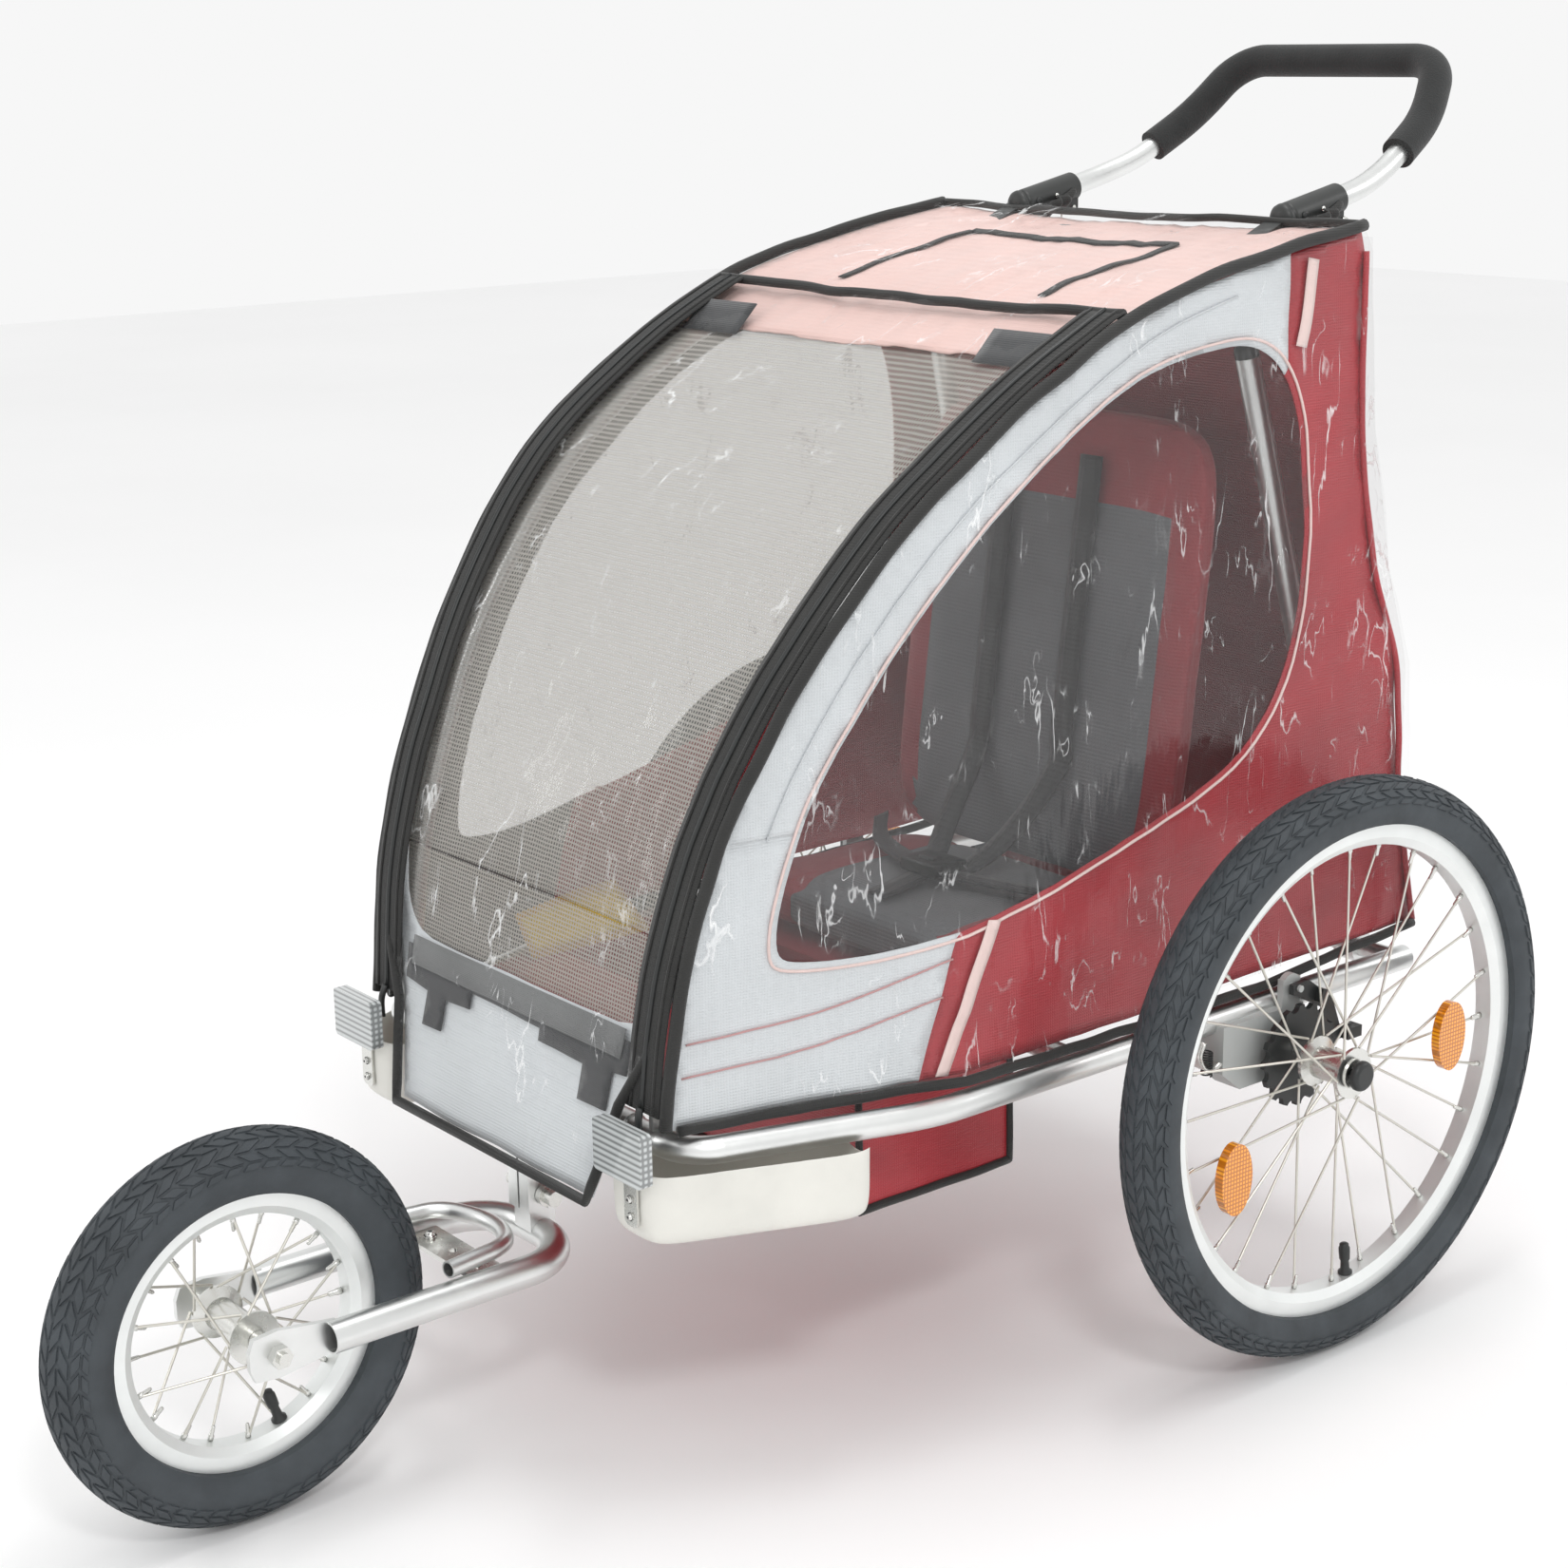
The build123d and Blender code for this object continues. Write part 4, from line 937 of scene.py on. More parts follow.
FILM_LOOSE = 0.016
FILM_TOP_Z, FILM_DROP = 0.95, 0.62


def film_swell(z):
    """How far out the loose film is at a height, as a share of its most."""
    return sin(pi * (FILM_TOP_Z - z) / FILM_DROP)


loose_rear = [(y + FILM_LOOSE * film_swell(z), z) for y, z in REAR_EDGE]
for side, label in SIDES:
    side_film = cloth_piece(
        f"{label}_rain_cover_side",
        flat_pattern([tuple(p) for p in corner_line[::4]] + loose_rear, 0.009),
        lambda y, z: on_side(side, y, z, 0.0065, 0.0045, 30.0 + side),
        COVER_FILM,
        0,
        flip=side < 0,
    )
    dress(side_film, body="chassis", folds=True)


def behind(x, z):
    """The loose film behind the rear cloth."""
    swell = film_swell(z)
    return Vector((x, rear_at(z) + 0.004 + FILM_LOOSE * swell + 0.003 * ripple((x, z, 9), 0.16) * swell, z))


rear_film = cloth_piece(
    "rain_cover_rear",
    flat_pattern([(-0.26, 0.335), (0.26, 0.335), (0.256, 0.925), (-0.256, 0.925)], 0.010),
    behind,
    COVER_FILM,
    0,
)
dress(rear_film, body="chassis", folds=True)
apron = cloth_piece(
    "rain_cover_apron", flat_pattern(flap_outline, 0.009), lambda x, t: on_flap(x, t, 0.0085, 0.003, 8.0),
    TOP_FILM, 0, flip=True,
)
dress(apron)

# ---------------------------------------------------------------- bindings, zips, stripes and seams

PIPING = 0.0042
# Each line of a zip: its offset across the band, its radius and its material.
ZIP_LINES = ((0.0, 0.0022, BLACK_PLASTIC), (-0.014, 0.0014, BLACK_CLOTH), (0.013, 0.0014, BLACK_CLOTH))
ZIP_PULL = ((0.0, -0.003, 0.004), (0.002, -0.006, -0.008), (0.004, -0.005, -0.024))
SIDE_SEAMS = (
    ((-0.262, 0.372), (-0.16, 0.379), (-0.044, 0.404)),
    ((-0.266, 0.346), (-0.16, 0.352), (-0.054, 0.375)),
)
SIDE_STRIPES = (
    ((-0.058, 0.312), (-0.038, 0.360), (-0.004, 0.428)),
    ((0.338, 0.842), (0.344, 0.868), (0.350, 0.912)),
)
canopy_trim, chassis_trim, fold_trim, bend_trim = [], [], [], []


def wobble(p, amount, seed=0.0):
    """A point moved a little, so that a sewn edge isn't ruled."""
    p = Vector(p)
    return p + Vector([amount * ripple(p, 0.05, seed + k * 7.3) for k in range(3)])


def on_cut(side, line, lift):
    """A line of (y, z) laid on a side's cloth, over its wrinkles."""
    return [on_side(side, y, z, lift, SIDE_WRINKLE, SIDE_SEED * side) for y, z in line]


for side, label in SIDES:
    edge = []
    for s in np.linspace(0.004, CORNER_END, 90):
        y, z, ny, nz = corner_at(s)
        x = half_width(y, z) + 0.004
        edge.append(wobble((side * x, y + ny * 0.006, z + nz * 0.006), 0.0016, side))
    canopy_trim.append(tube(f"{label}_corner_piping", edge, 0.0052, BLACK_CLOTH, 10))

    band = []
    for s in np.linspace(0.012, S_SEAM, 70):
        y, z, _, _ = corner_at(s)
        band.append(on_front(side * (half_width(y, z) - 0.019), s, 0.0115, 0.001, 4.0))
    canopy_trim.append(ribbon(f"{label}_zip_band", band, (1, 0, 0), 0.040, BLACK_CLOTH, 0.0016))
    for offset, radius, material in ZIP_LINES:
        line = [p + Vector((offset, -0.0012, 0.0008)) for p in band]
        canopy_trim.append(tube(f"{label}_zip_line", line, radius, material, 6))
    pull = smooth([band[0] + Vector((x * side, y, z)) for x, y, z in ZIP_PULL], per=5)
    canopy_trim.append(ribbon(f"{label}_zip_pull", pull, (1, 0, 0), 0.007, BLACK_PLASTIC, 0.002))

    hem = []
    for y in np.linspace(-0.272, 0.499, 80):
        z = HEM_Z + 0.014 * max(0.0, (y - 0.30) / 0.2)
        hem.append(wobble((side * (half_width(y, z) + 0.0035), y, z), 0.0022, 3 + side))
    chassis_trim.append(tube(f"{label}_hem_piping", hem, PIPING, BLACK_CLOTH, 10))

    rear_edge = smooth(REAR_EDGE, per=14)
    rear_line = [wobble((side * (half_width(y, z) + 0.002), y, z), 0.0018, 5 + side) for y, z in rear_edge]
    fold_trim.append(tube(f"{label}_rear_piping", rear_line, 0.0028, RED, 8))

    window_bead = on_cut(side, window_loop, 0.0012)
    fold_trim.append(tube(f"{label}_window_bead", window_bead, 0.0013, STRIPE, 6, closed=True))
    for line in SIDE_SEAMS:
        stitched = on_cut(side, smooth(line, per=12), 0.0014)
        fold_trim.append(tube(f"{label}_stitched_seam", stitched, 0.0008, SEAM_RED, 6))
    hem_line = on_cut(side, [Vector(p) + Vector((0.030, -0.012)) for p in corner_line[60:170:4]], 0.0012)
    fold_trim.append(tube(f"{label}_edge_stitch", hem_line, 0.0008, GREY, 6))
    for line in SIDE_STRIPES:
        path = on_cut(side, smooth(line, per=10), 0.0026)
        fold_trim.append(ribbon(f"{label}_pale_stripe", path, (0, 1, -0.2), 0.013, STRIPE, 0.0008))

roof_places = np.linspace(-0.252, 0.252, 60)
seam_bead = [wobble(on_front(x, S_SEAM, 0.010, sag=0.004), 0.002, 2.0) for x in roof_places]
canopy_trim.append(tube("roof_front_piping", seam_bead, PIPING, BLACK_CLOTH, 10))
rear_bead = [wobble(on_front(x, CORNER_END, 0.006, sag=0.003), 0.002, 6.0) for x in roof_places]
canopy_trim.append(tube("roof_rear_piping", rear_bead, 0.0034, BLACK_CLOTH, 10))

ROOF_FLAP_X = 0.125
ROOF_FLAP_S = (S_SEAM + 0.035, CORNER_END - 0.085)
roof_loop = (
    [(-ROOF_FLAP_X, s) for s in np.linspace(*ROOF_FLAP_S, 20)]
    + [(x, ROOF_FLAP_S[1]) for x in np.linspace(-ROOF_FLAP_X, ROOF_FLAP_X, 20)]
    + [(ROOF_FLAP_X, s) for s in np.linspace(*reversed(ROOF_FLAP_S), 20)]
)
roof_path = [on_front(x, s, 0.0042, 0.0035, 9.0, 0.005) for x, s in roof_loop]
roof_across = [(1, 0, 0)] * 20 + [(0, 1, 0.3)] * 20 + [(1, 0, 0)] * 20
canopy_trim.append(ribbon("roof_flap_binding", roof_path, roof_across, 0.009, BLACK_CLOTH, 0.0010))
for side, label in SIDES:
    tie = [on_front(side * x, SCREEN_HIGH - 0.002, 0.0062) for x in np.linspace(0.150, 0.225, 8)]
    canopy_trim.append(ribbon(f"{label}_corner_tape", tie, (0, 0.7, 0.7), 0.034, HOOK_TAPE, 0.0012))

flap_rim = [(-flap_edge(t), t) for t in flap_drops] + [(flap_edge(t), t) for t in reversed(flap_drops)]
flap_bead = [wobble(on_flap(x, t, 0.007), 0.0018, 8.0) for x, t in flap_rim]
bend_trim.append(tube("flap_piping", flap_bead, PIPING, BLACK_CLOTH, 10))
rear_hem = [wobble((x, 0.501, 0.321), 0.002, 4.0) for x in np.linspace(-0.262, 0.262, 50)]
chassis_trim.append(tube("rear_hem_piping", rear_hem, PIPING, BLACK_CLOTH, 10))

floor_low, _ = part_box("cabin_floor")
WELL_X, WELL_FRONT, WELL_REAR = 0.204, -0.094, 0.069
well_low = floor_low.z + 0.001
well_loop = [(-WELL_X, WELL_FRONT), (WELL_X, WELL_FRONT), (WELL_X, WELL_REAR), (-WELL_X, WELL_REAR)]
well_path = [wobble((*p, well_low), 0.0015, 12.0) for p in resample(well_loop, 0.012, True)]
chassis_trim.append(tube("footwell_piping", well_path, 0.0036, BLACK_CLOTH, 8, closed=True))
for x, y in well_loop:
    post = [wobble((x, y, z), 0.0012, 14.0) for z in np.linspace(well_low, 0.296, 12)]
    chassis_trim.append(tube("footwell_corner_piping", post, 0.0030, BLACK_CLOTH, 8))

for name, pieces, body in (
    ("canopy_bindings_and_zips", canopy_trim, "canopy_frame"),
    ("hem_bindings", chassis_trim, "chassis"),
    ("side_bindings_and_stripes", fold_trim, "chassis"),
):
    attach(join(name, pieces), body)
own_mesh(bpy.data.objects["side_bindings_and_stripes"])
bend_with_front(join("flap_binding", bend_trim))

# ---------------------------------------------------------------- seat and harness

BACK_LEAN = (0.356 - 0.302) / (0.770 - 0.366)


def pad(
    name, low, high, materials, lean=0.0, centre_share=0.0, centre_top=1.0, steps=26, channels=()
):
    """A stuffed pad in a box, with seams at the given shares of its width and a leaning shape."""
    low, high = Vector(low), Vector(high)
    middle, half = (low + high) / 2, (high - low) / 2
    bm = bmesh.new()
    bmesh.ops.create_cube(bm, size=2.0)
    bmesh.ops.subdivide_edges(bm, edges=bm.edges[:], cuts=steps, use_grid_fill=True)
    for vert in bm.verts:
        c = vert.co.copy()
        size = (abs(c.x) ** 7 + abs(c.y) ** 7 + abs(c.z) ** 7) ** (1 / 7)
        c /= size
        thin = min(range(3), key=lambda axis: half[axis])
        puff = 1.0
        for axis in range(3):
            if axis != thin:
                puff *= 1 - 0.35 * abs(c[axis]) ** 6
        for share in channels:
            puff *= 1 - 0.22 * np.exp(-(((abs(c.x) - share) / 0.035) ** 2))
        c[thin] *= puff * (0.94 + 0.06 * ripple(c * 0.2 + middle, 0.08, 3.0))
        c.x += 0.006 * ripple(c * 0.3, 0.1, 9.0)
        p = Vector((middle.x + c.x * half.x, middle.y + c.y * half.y, middle.z + c.z * half.z))
        p.y += lean * (p.z - low.z)
        vert.co = p
    for face in bm.faces:
        face.smooth = True
        place = face.calc_center_median()
        in_centre = abs(place.x - middle.x) < centre_share * half.x
        face.material_index = int(in_centre and place.z < middle.z + centre_top * half.z)
    obj = from_bmesh(name, bm, materials)
    return obj


BACK_FOOT_Y, BACK_FOOT_Z, BACK_FOLDED_SHARE = 0.262, 0.366, 0.12
PAD_CLOTHS = [RED_SOFT, SEAT_GREY]
cushion = pad(
    "seat_cushion_pad", (-0.176, 0.083, 0.303), (0.176, 0.297, 0.363), PAD_CLOTHS, 0, 0.52, channels=(0.52,)
)
back = pad(
    "seat_back_pad", (-0.176, BACK_FOOT_Y, BACK_FOOT_Z), (0.176, 0.302, 0.770), PAD_CLOTHS,
    BACK_LEAN, 0.82, 0.62, channels=(0.82, 0.28),
)
for piece, node in ((cushion, "seat_cushion"), (back, "seat_back")):
    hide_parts(node)
    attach(piece, "chassis")
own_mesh(back)

SHOULDER_END = ((0.040, 0.225, 0.405), (0.022, 0.190, 0.376), (0.008, 0.165, 0.372))
LAP = ((0.170, 0.255, 0.372), (0.110, 0.205, 0.370), (0.020, 0.168, 0.374))
CROTCH = ((0, 0.100, 0.364), (0, 0.130, 0.368), (0, 0.160, 0.373))


def back_front(z, off):
    """Where the front of the seat back is at a height, and a little before it."""
    return BACK_FOOT_Y + BACK_LEAN * (z - BACK_FOOT_Z) - off


def strap(name, points, per, across):
    """A length of the harness's webbing through points."""
    path = smooth(points, per=per)
    return ribbon(name, path, across, 0.026, WEBBING, 0.0018)


straps = []
for side, label in SIDES:
    run = [Vector((side * 0.052, back_front(z, 0.004), z)) for z in np.linspace(0.735, 0.46, 14)]
    run += [Vector((side * x, y, z)) for x, y, z in SHOULDER_END]
    straps.append(strap(f"{label}_shoulder_strap", run, 3, (1, 0, 0)))
    lap = [Vector((side * x, y, z)) for x, y, z in LAP]
    straps.append(strap(f"{label}_lap_strap", lap, 8, (0.3 * side, 1, 0)))
straps.append(strap("crotch_strap", CROTCH, 6, (1, 0, 0)))
straps.append(boxes("buckle", [
    (Matrix.Translation((0, 0.166, 0.379)), (0.046, 0.034, 0.012)),
    (Matrix.Translation((0, 0.186, 0.378)), (0.036, 0.014, 0.008)),
    (Matrix.Translation((0, 0.166, 0.3855)), (0.020, 0.014, 0.004)),
], BLACK_PLASTIC, 0.002))
harness = join("harness_straps_and_buckle", straps)
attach(harness, "chassis")
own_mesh(harness)

LABEL_Y = (-0.125, 0.005)
LABEL_FOOT = (-0.2045, 0.3025)
LABEL_TOP_Z = 0.338
LABEL_ROWS, LABEL_COLUMNS = 5, 14
LABEL_SHARE_PER_M = 25


def label_sheet(name, lift, border, material):
    """A flat patch that leans from the floor's edge on to the far side wall."""
    verts = []
    inset = border * LABEL_SHARE_PER_M
    for share in np.linspace(inset, 1 - inset, LABEL_ROWS):
        for y in np.linspace(LABEL_Y[0] + border, LABEL_Y[1] - border, LABEL_COLUMNS):
            foot = Vector((LABEL_FOOT[0] + lift, y, LABEL_FOOT[1] + lift))
            verts.append(foot.lerp(on_side(-1, y, LABEL_TOP_Z, -0.006 - lift), share))
    patch = new_object(name, verts, grid_faces(LABEL_ROWS, LABEL_COLUMNS), [material])
    thicken(patch, 0.0006)
    return finish_modifiers(patch)


label_patch = join("plain_label", [
    label_sheet("label_base", 0.0, 0.0, LABEL),
    label_sheet("label_face", 0.0008, 0.005, LABEL_FACE),
])
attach(label_patch, "chassis")
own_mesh(label_patch)

# ---------------------------------------------------------------- wheels

WHEELS = (
    ("left_wheel", "left", (0.348, 0.312, 0.250), 0.250, 0.0235, 84),
    ("right_wheel", "right", (-0.348, 0.312, 0.250), 0.250, 0.0235, 84),
    ("front_wheel", "front", (0.0, -0.537, 0.156), 0.156, 0.0270, 56),
)
# Each row of tread blocks: its middle angle round the tyre's section, its half width and its slant.
TREAD_ROWS = (
    (0.00, 0.17, 0.30), (0.36, 0.15, -0.34), (0.70, 0.15, 0.34), (1.02, 0.12, -0.25), (1.28, 0.09, 0.15),
)
TREAD_HEIGHT = 0.0013
TREAD_ROOT = 0.0006
TREAD_GAP = 0.20


def tread(name, centre, radius, section, count):
    """Slanted rubber blocks in rows over a tyre, in mirrored pairs beside the middle row."""
    verts, faces = [], []
    middle = Vector(centre)
    rows = []
    for mid, half, slant in TREAD_ROWS:
        rows += [(mid * sign, half, slant * sign) for sign in ((1,) if mid == 0 else (1, -1))]
    for number, (mid, half, slant) in enumerate(rows):
        for k in range(count):
            shift = 0.5 * (number % 2)
            start = len(verts)
            for height, shrink in ((-TREAD_ROOT, 1.0), (TREAD_HEIGHT, 0.84)):
                ring = section + height
                for j in range(4):
                    phi = mid + half * shrink * (j / 1.5 - 1)
                    lean = slant * (j / 1.5 - 1)
                    for edge in (-0.5, 0.5):
                        theta = 2 * pi * (k + shift + lean + edge * (1 - TREAD_GAP) * shrink) / count
                        out = radius - section + ring * cos(phi)
                        verts.append(middle + Vector((ring * sin(phi), out * cos(theta), out * sin(theta))))
            top = start + 8
            for j in range(3):
                faces.append((top + 2 * j, top + 2 * j + 1, top + 2 * j + 3, top + 2 * j + 2))
                faces.append((start + 2 * j, start + 2 * j + 2, top + 2 * j + 2, top + 2 * j))
                faces.append((start + 2 * j + 1, top + 2 * j + 1, top + 2 * j + 3, start + 2 * j + 3))
            faces.append((start, top, top + 1, start + 1))
            faces.append((start + 6, start + 7, top + 7, top + 6))
    return new_object(name, verts, faces, [TYRE], flat=True)


def node_points(node):
    """The vertices of a CAD node."""
    return np.array([tuple(v.co) for v in frame["nodes"][node].data.vertices])


def spoke_ends(node, centre):
    """Where the spokes meet the rim, as middle points of the outermost vertices."""
    points = node_points(node) - np.array(centre)
    reach = np.hypot(points[:, 1], points[:, 2])
    outer = points[reach > reach.max() - 0.003]
    angles = np.degrees(np.arctan2(outer[:, 2], outer[:, 1])) % 360
    order = np.argsort(angles)
    outer, angles = outer[order], angles[order]
    breaks = np.where(np.diff(angles) > 3.0)[0] + 1
    groups = np.split(outer, breaks)
    return [Vector(tuple(g.mean(0))) + Vector(centre) for g in groups]


def turned(name, foot, direction, profile, material, steps=14):
    """A turned piece on any axis. The profile is (distance along the axis, radius)."""
    direction = Vector(direction).normalized()
    a = direction.orthogonal().normalized()
    b = direction.cross(a)
    verts = []
    for along, r in profile:
        for k in range(steps):
            angle = 2 * pi * k / steps
            verts.append(Vector(foot) + direction * along + (a * cos(angle) + b * sin(angle)) * max(r, 1e-5))
    faces = grid_faces(len(profile), steps, round_columns=True) + end_caps(len(profile), steps)
    return new_object(name, verts, faces, [material])


NIPPLE = ((0.0, 0.0022), (-0.004, 0.0024), (-0.005, 0.0018), (-0.011, 0.0016), (-0.012, 0.0010))
VALVE = (
    (0.002, 0.0062), (-0.002, 0.0062), (-0.004, 0.0040), (-0.012, 0.0036), (-0.014, 0.0046), (-0.020, 0.0049),
    (-0.0245, 0.0049), (-0.026, 0.0040), (-0.028, 0.0040), (-0.029, 0.0025),
)
VALVE_AIM = {"left": (0.020, -0.192), "right": (0.020, -0.192), "front": (0.026, -0.079)}
for body, label, centre, radius, section, count in WHEELS:
    blocks = tread(f"{label}_tyre_tread", centre, radius, section, count)
    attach(blocks, body)
    ends = spoke_ends(f"{label}_spokes", centre)
    nipples = []
    for end in ends:
        outward = Vector((0, end.y - centre[1], end.z - centre[2])).normalized()
        nipples.append(turned("nipple", end, outward, NIPPLE, STEEL, 8))
    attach(join(f"{label}_spoke_nipples", nipples), body)
    rim_points = node_points(f"{label}_rim") - np.array(centre)
    rim_inner = float(np.hypot(rim_points[:, 1], rim_points[:, 2]).min())
    aim = Vector((0, *VALVE_AIM[label])).normalized()
    valve = turned(f"{label}_valve", Vector(centre) + aim * rim_inner, aim, VALVE, BLACK_PLASTIC, 18)
    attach(valve, body)

# ---------------------------------------------------------------- fittings

HEX_HEAD = ((0.0, 0.0062), (0.0012, 0.0062), (0.0012, 0.0048), (0.0042, 0.0048), (0.0050, 0.0040))


def bolt(foot, direction, size=1.0, material=STEEL, steps=6):
    """A washer and a bolt head with a shallow socket."""
    washer = turned("washer", foot, direction, [(a * size, r * size) for a, r in HEX_HEAD[:2]], material, 20)
    head = turned("head", foot, direction, [(a * size, r * size) for a, r in HEX_HEAD[1:]], material, steps)
    top = Vector(foot) + Vector(direction).normalized() * 0.0050 * size
    recess = ((0.0, 0.0022 * size), (0.0002, 0.0020 * size))
    socket = turned("socket", top, direction, recess, BLACK_PLASTIC, 6)
    return [washer, head, socket]


def strip_size(verts, around):
    """The cut of a gathered strip: the mean length of its rows round it, and of its lines across it."""
    grid = np.array([tuple(v) for v in verts]).reshape(-1, around, 3)
    rows = np.linalg.norm(grid - np.roll(grid, -1, axis=1), axis=2).sum(axis=1)
    lines = np.linalg.norm(np.diff(grid, axis=0), axis=2).sum(axis=0)
    return float(rows.mean()), float(lines.mean())


LATCH_X = 0.280
LATCH_TONGUE = ((0.236, 0.256), (0.226, 0.252), (0.215, 0.256), (0.209, 0.268), (0.214, 0.279))
COIL_STEPS, COIL_STEPS_ROUND, COIL_R, COIL_HEIGHT = 120, 12, 0.0045, 0.022

fittings = []
bracket_low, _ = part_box("reflector_brackets")
for side, label in SIDES:
    for z in (0.243, 0.257):
        fittings += bolt((side * 0.190, bracket_low.y, z), (0, -1, 0), 0.55, STEEL, 16)
    tongue = smooth([Vector((side * LATCH_X, y, z)) for y, z in LATCH_TONGUE], per=6)
    fittings.append(ribbon(f"{label}_latch_tongue", tongue, (1, 0, 0), 0.016, STEEL, 0.0022))
    coil = []
    for k in range(COIL_STEPS + 1):
        angle = 2 * pi * k / COIL_STEPS_ROUND
        z = 0.246 + COIL_HEIGHT * k / COIL_STEPS
        coil.append(Vector((side * LATCH_X + COIL_R * cos(angle), 0.224 + COIL_R * sin(angle), z)))
    fittings.append(tube(f"{label}_latch_spring", coil, 0.0008, BLACK_PLASTIC, 6))
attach(join("frame_screws_and_latches", fittings), "chassis")

_, brace_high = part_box("fork_brace")
arm_fittings = bolt((-0.034, -0.346, brace_high.z), (0, 0, 1), 0.9)
arm_fittings += bolt((0.034, -0.346, brace_high.z), (0, 0, 1), 0.6, STEEL, 12)
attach(join("fork_bolts", arm_fittings), "jogger_arm")

SLEEVE_X = 0.161
SLEEVE_START, SLEEVE_END = Vector((0, 0.423, 0.936)), Vector((0, 0.490, 0.950))
SLEEVE_CAP = ((0, 0.0134), (0.003, 0.0130), (0.006, 0.0110), (0.008, 0.0070), (0.0088, 0.0020))
# Each screw of a sleeve: its place as a share of the sleeve's length, its radius and its material.
SLEEVE_SCREWS = ((0.18, 0.0040, BLACK_PLASTIC), (0.52, 0.0022, STEEL))
COLLAR_AROUND, COLLAR_UP = 144, 5
COLLAR_Y, COLLAR_Z, COLLAR_R, COLLAR_HEIGHT = 0.446, 0.9285, 0.0215, 0.011
sleeve_way = (SLEEVE_END - SLEEVE_START).normalized()
sleeve_parts = []
for side, label in SIDES:
    across = Vector((side * SLEEVE_X, 0, 0))
    sleeve_parts.append(turned("cap", SLEEVE_START + across, -sleeve_way, SLEEVE_CAP, CHARCOAL, 28))
    for share, r, material in SLEEVE_SCREWS:
        spot = SLEEVE_START + (SLEEVE_END - SLEEVE_START) * share + across + Vector((0.0125, 0, 0))
        profile = ((0, r), (0.0012, r), (0.0018, r * 0.6))
        sleeve_parts.append(turned("screw", spot, (1, 0, 0), profile, material, 16))
    verts = []
    for t in np.linspace(0, 1, COLLAR_UP).tolist():
        for k in range(COLLAR_AROUND):
            angle = 2 * pi * k / COLLAR_AROUND
            ruffle = sin(angle * 13 + 2.0 * sin(angle * 3)) * 0.0030 * (0.3 + t)
            r = COLLAR_R + ruffle + 0.004 * sin(pi * t)
            y = COLLAR_Y + r * 1.5 * sin(angle)
            z = COLLAR_Z + COLLAR_HEIGHT * t + 0.25 * (y - COLLAR_Y) + 0.002 * sin(angle * 7)
            verts.append((side * SLEEVE_X + r * cos(angle), y, z))
    collar_faces = grid_faces(COLLAR_UP, COLLAR_AROUND, round_columns=True)
    collar = new_object(f"{label}_gathered_collar", verts, collar_faces, [BLACK_CLOTH])
    collar["flat_width"], collar["flat_length"] = strip_size(verts, COLLAR_AROUND)
    collar["flat_area"] = sum(p.area for p in collar.data.polygons)
    thicken(collar, 0.0012, 0.0)
    finish_modifiers(collar)
    declare(collar)
    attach(collar, "canopy_frame")
sleeve_body = frame["nodes"]["handle_sleeves"].parent.name.replace("body:", "")
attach(join("sleeve_caps_and_screws", sleeve_parts), sleeve_body)

BUMPER_VOXEL, BUMPER_SMOOTHING, BUMPER_PASSES = 0.0028, 0.9, 140
bumpers = in_scene("corner_bumpers_moulded", frame["nodes"]["corner_bumpers"].data.copy())
remesh = bumpers.modifiers.new("even_mesh", "REMESH")
remesh.mode = "VOXEL"
remesh.voxel_size = BUMPER_VOXEL
rounding = bumpers.modifiers.new("rounding", "SMOOTH")
rounding.factor = BUMPER_SMOOTHING
rounding.iterations = BUMPER_PASSES
finish_modifiers(bumpers)
for polygon in bumpers.data.polygons:
    polygon.use_smooth = True
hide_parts("corner_bumpers")
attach(bumpers, "chassis")

# ---------------------------------------------------------------- floor, light and camera

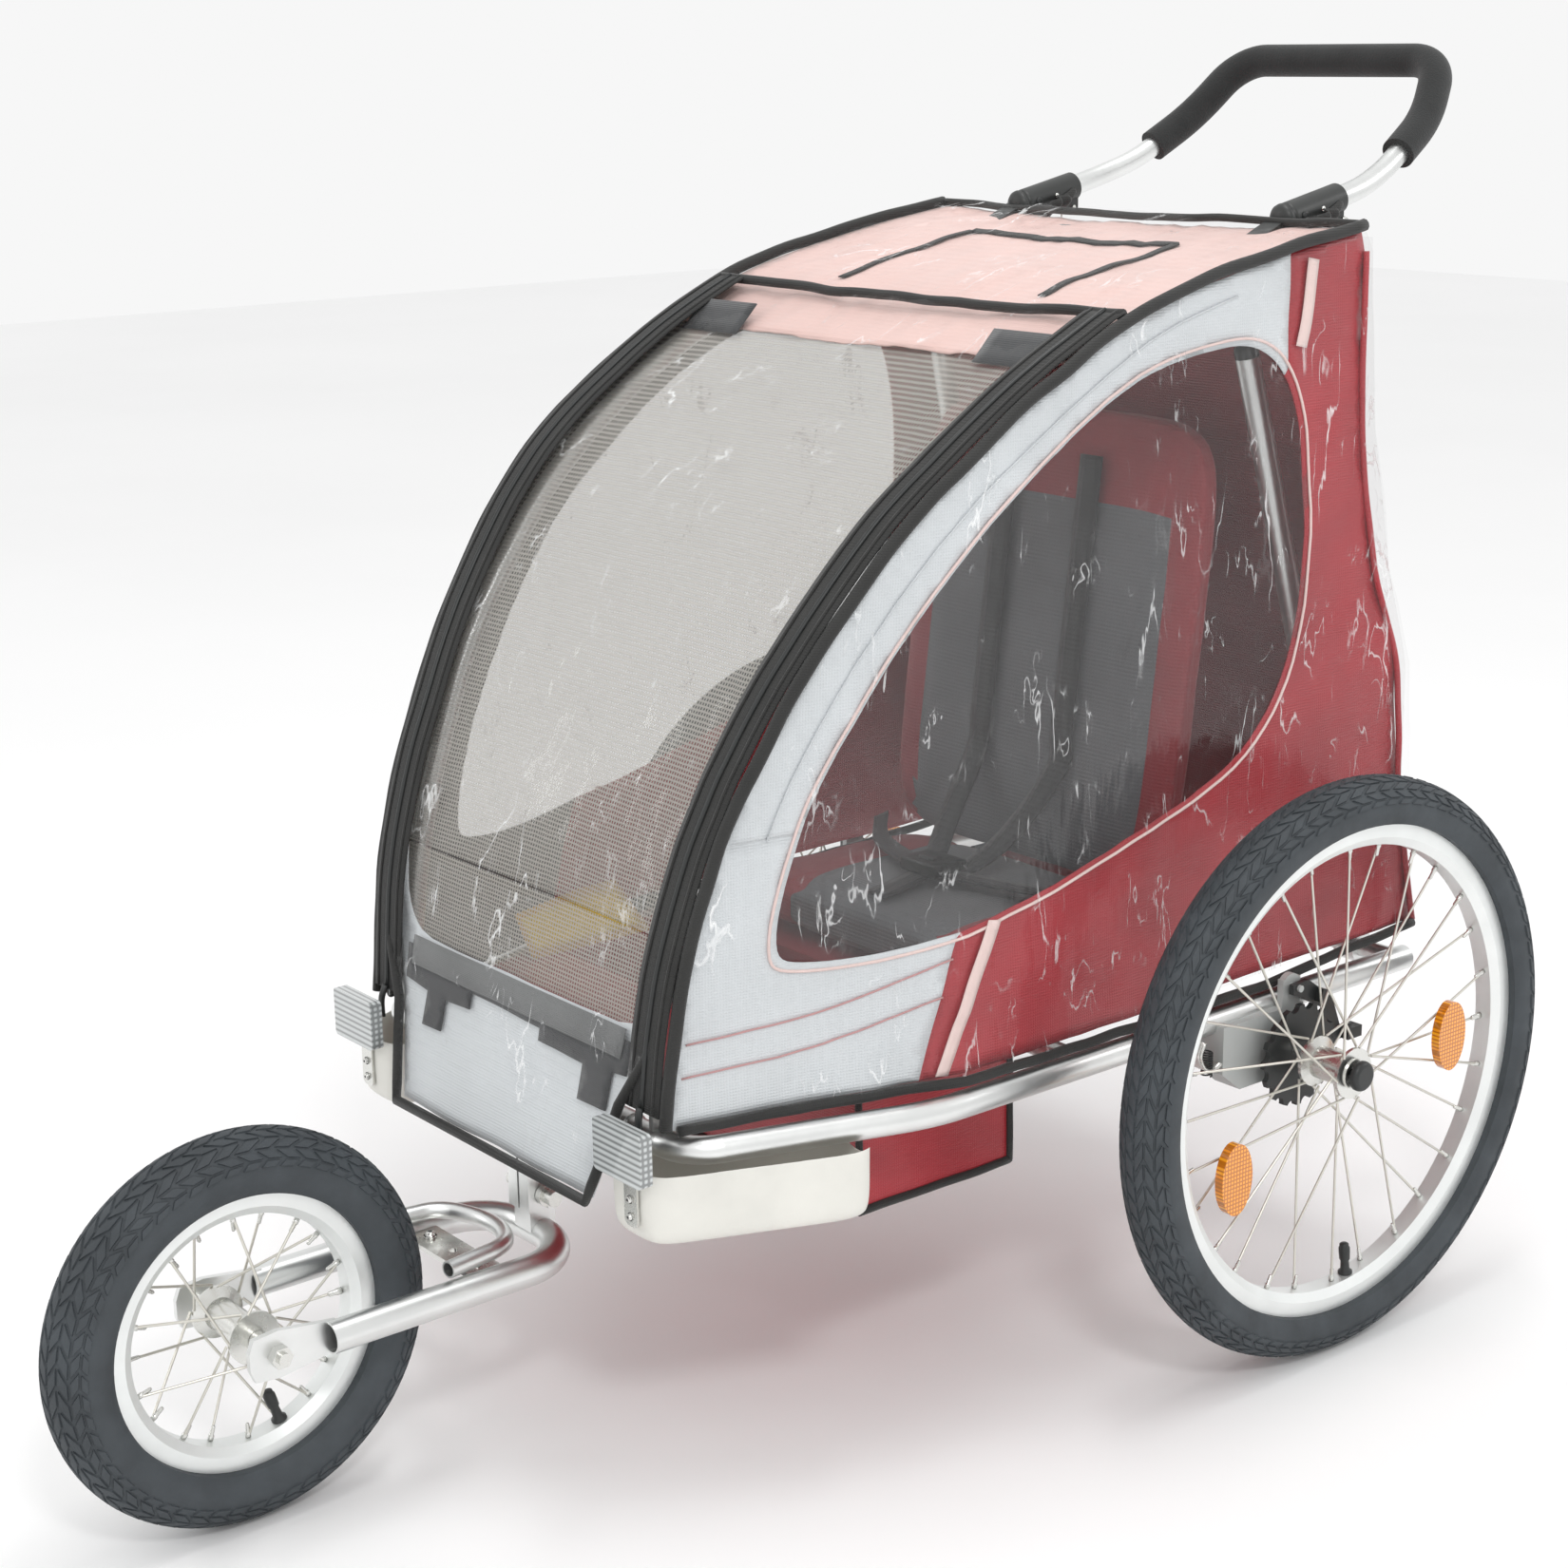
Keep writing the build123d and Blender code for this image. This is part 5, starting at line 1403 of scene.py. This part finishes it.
low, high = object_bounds()
ground = new_object(
    "ground", [(-9, -9, low.z), (9, -9, low.z), (9, 9, low.z), (-9, 9, low.z)], [(0, 1, 2, 3)], [], flat=True
)
ground_shade = Shade("pale_ground")
pale = [(0.3, (0.93, 0.93, 0.93)), (0.7, (0.96, 0.96, 0.96))]
ground_shade.set(Base_Color=ground_shade.ramp(ground_shade.noise(0.6), pale), Roughness=0.85)
ground.data.materials.append(ground_shade.material)

world = bpy.data.worlds.new("studio") if bpy.context.scene.world is None else bpy.context.scene.world
bpy.context.scene.world = world
world.use_nodes = True
world.node_tree.nodes["Background"].inputs["Color"].default_value = (1.0, 1.0, 1.0, 1.0)
world.node_tree.nodes["Background"].inputs["Strength"].default_value = 0.93


def soft_light(name, place, aim, size, power):
    """A lamp with a large face, aimed at a point."""
    data = bpy.data.lights.new(name, "AREA")
    data.shape = "RECTANGLE"
    data.size, data.size_y = size
    data.energy = power
    obj = in_scene(name, data)
    obj.location = place
    obj.rotation_euler = (Vector(aim) - Vector(place)).to_track_quat("-Z", "Y").to_euler()


soft_light("key", (2.6, -1.4, 2.9), (0, 0, 0.5), (0.55, 0.45), 26.0)
soft_light("top", (0.3, 0.3, 3.2), (0, 0, 0.5), (1.5, 0.35), 16.0)
soft_light("fill", (-2.2, -2.8, 1.8), (0, 0, 0.5), (0.5, 1.2), 9.0)
soft_light("back", (1.6, 2.8, 2.2), (0, 0.3, 0.6), (1.2, 0.5), 10.0)

# The camera that matches the photograph.
CAMERA_PLACE, LENS = (1.7355, -1.3985, 1.0916), 62.95
YAW, PITCH, ROLL = radians(51.15), radians(15.27), radians(-0.79)
look = Vector((-sin(YAW) * cos(PITCH), cos(YAW) * cos(PITCH), -sin(PITCH)))
right = Vector((cos(YAW), sin(YAW), 0))
upward = right.cross(look)
camera_x = right * cos(ROLL) + upward * sin(ROLL)
camera_y = upward * cos(ROLL) - right * sin(ROLL)
camera_data = bpy.data.cameras.new("camera")
camera_data.sensor_width = 36.0
camera_data.lens = LENS
camera = in_scene("camera", camera_data)
camera.matrix_world = Matrix.Translation(CAMERA_PLACE) @ Matrix(
    (camera_x, camera_y, -look)
).transposed().to_4x4()
bpy.context.scene.camera = camera
bpy.context.scene.view_settings.view_transform = "Standard"
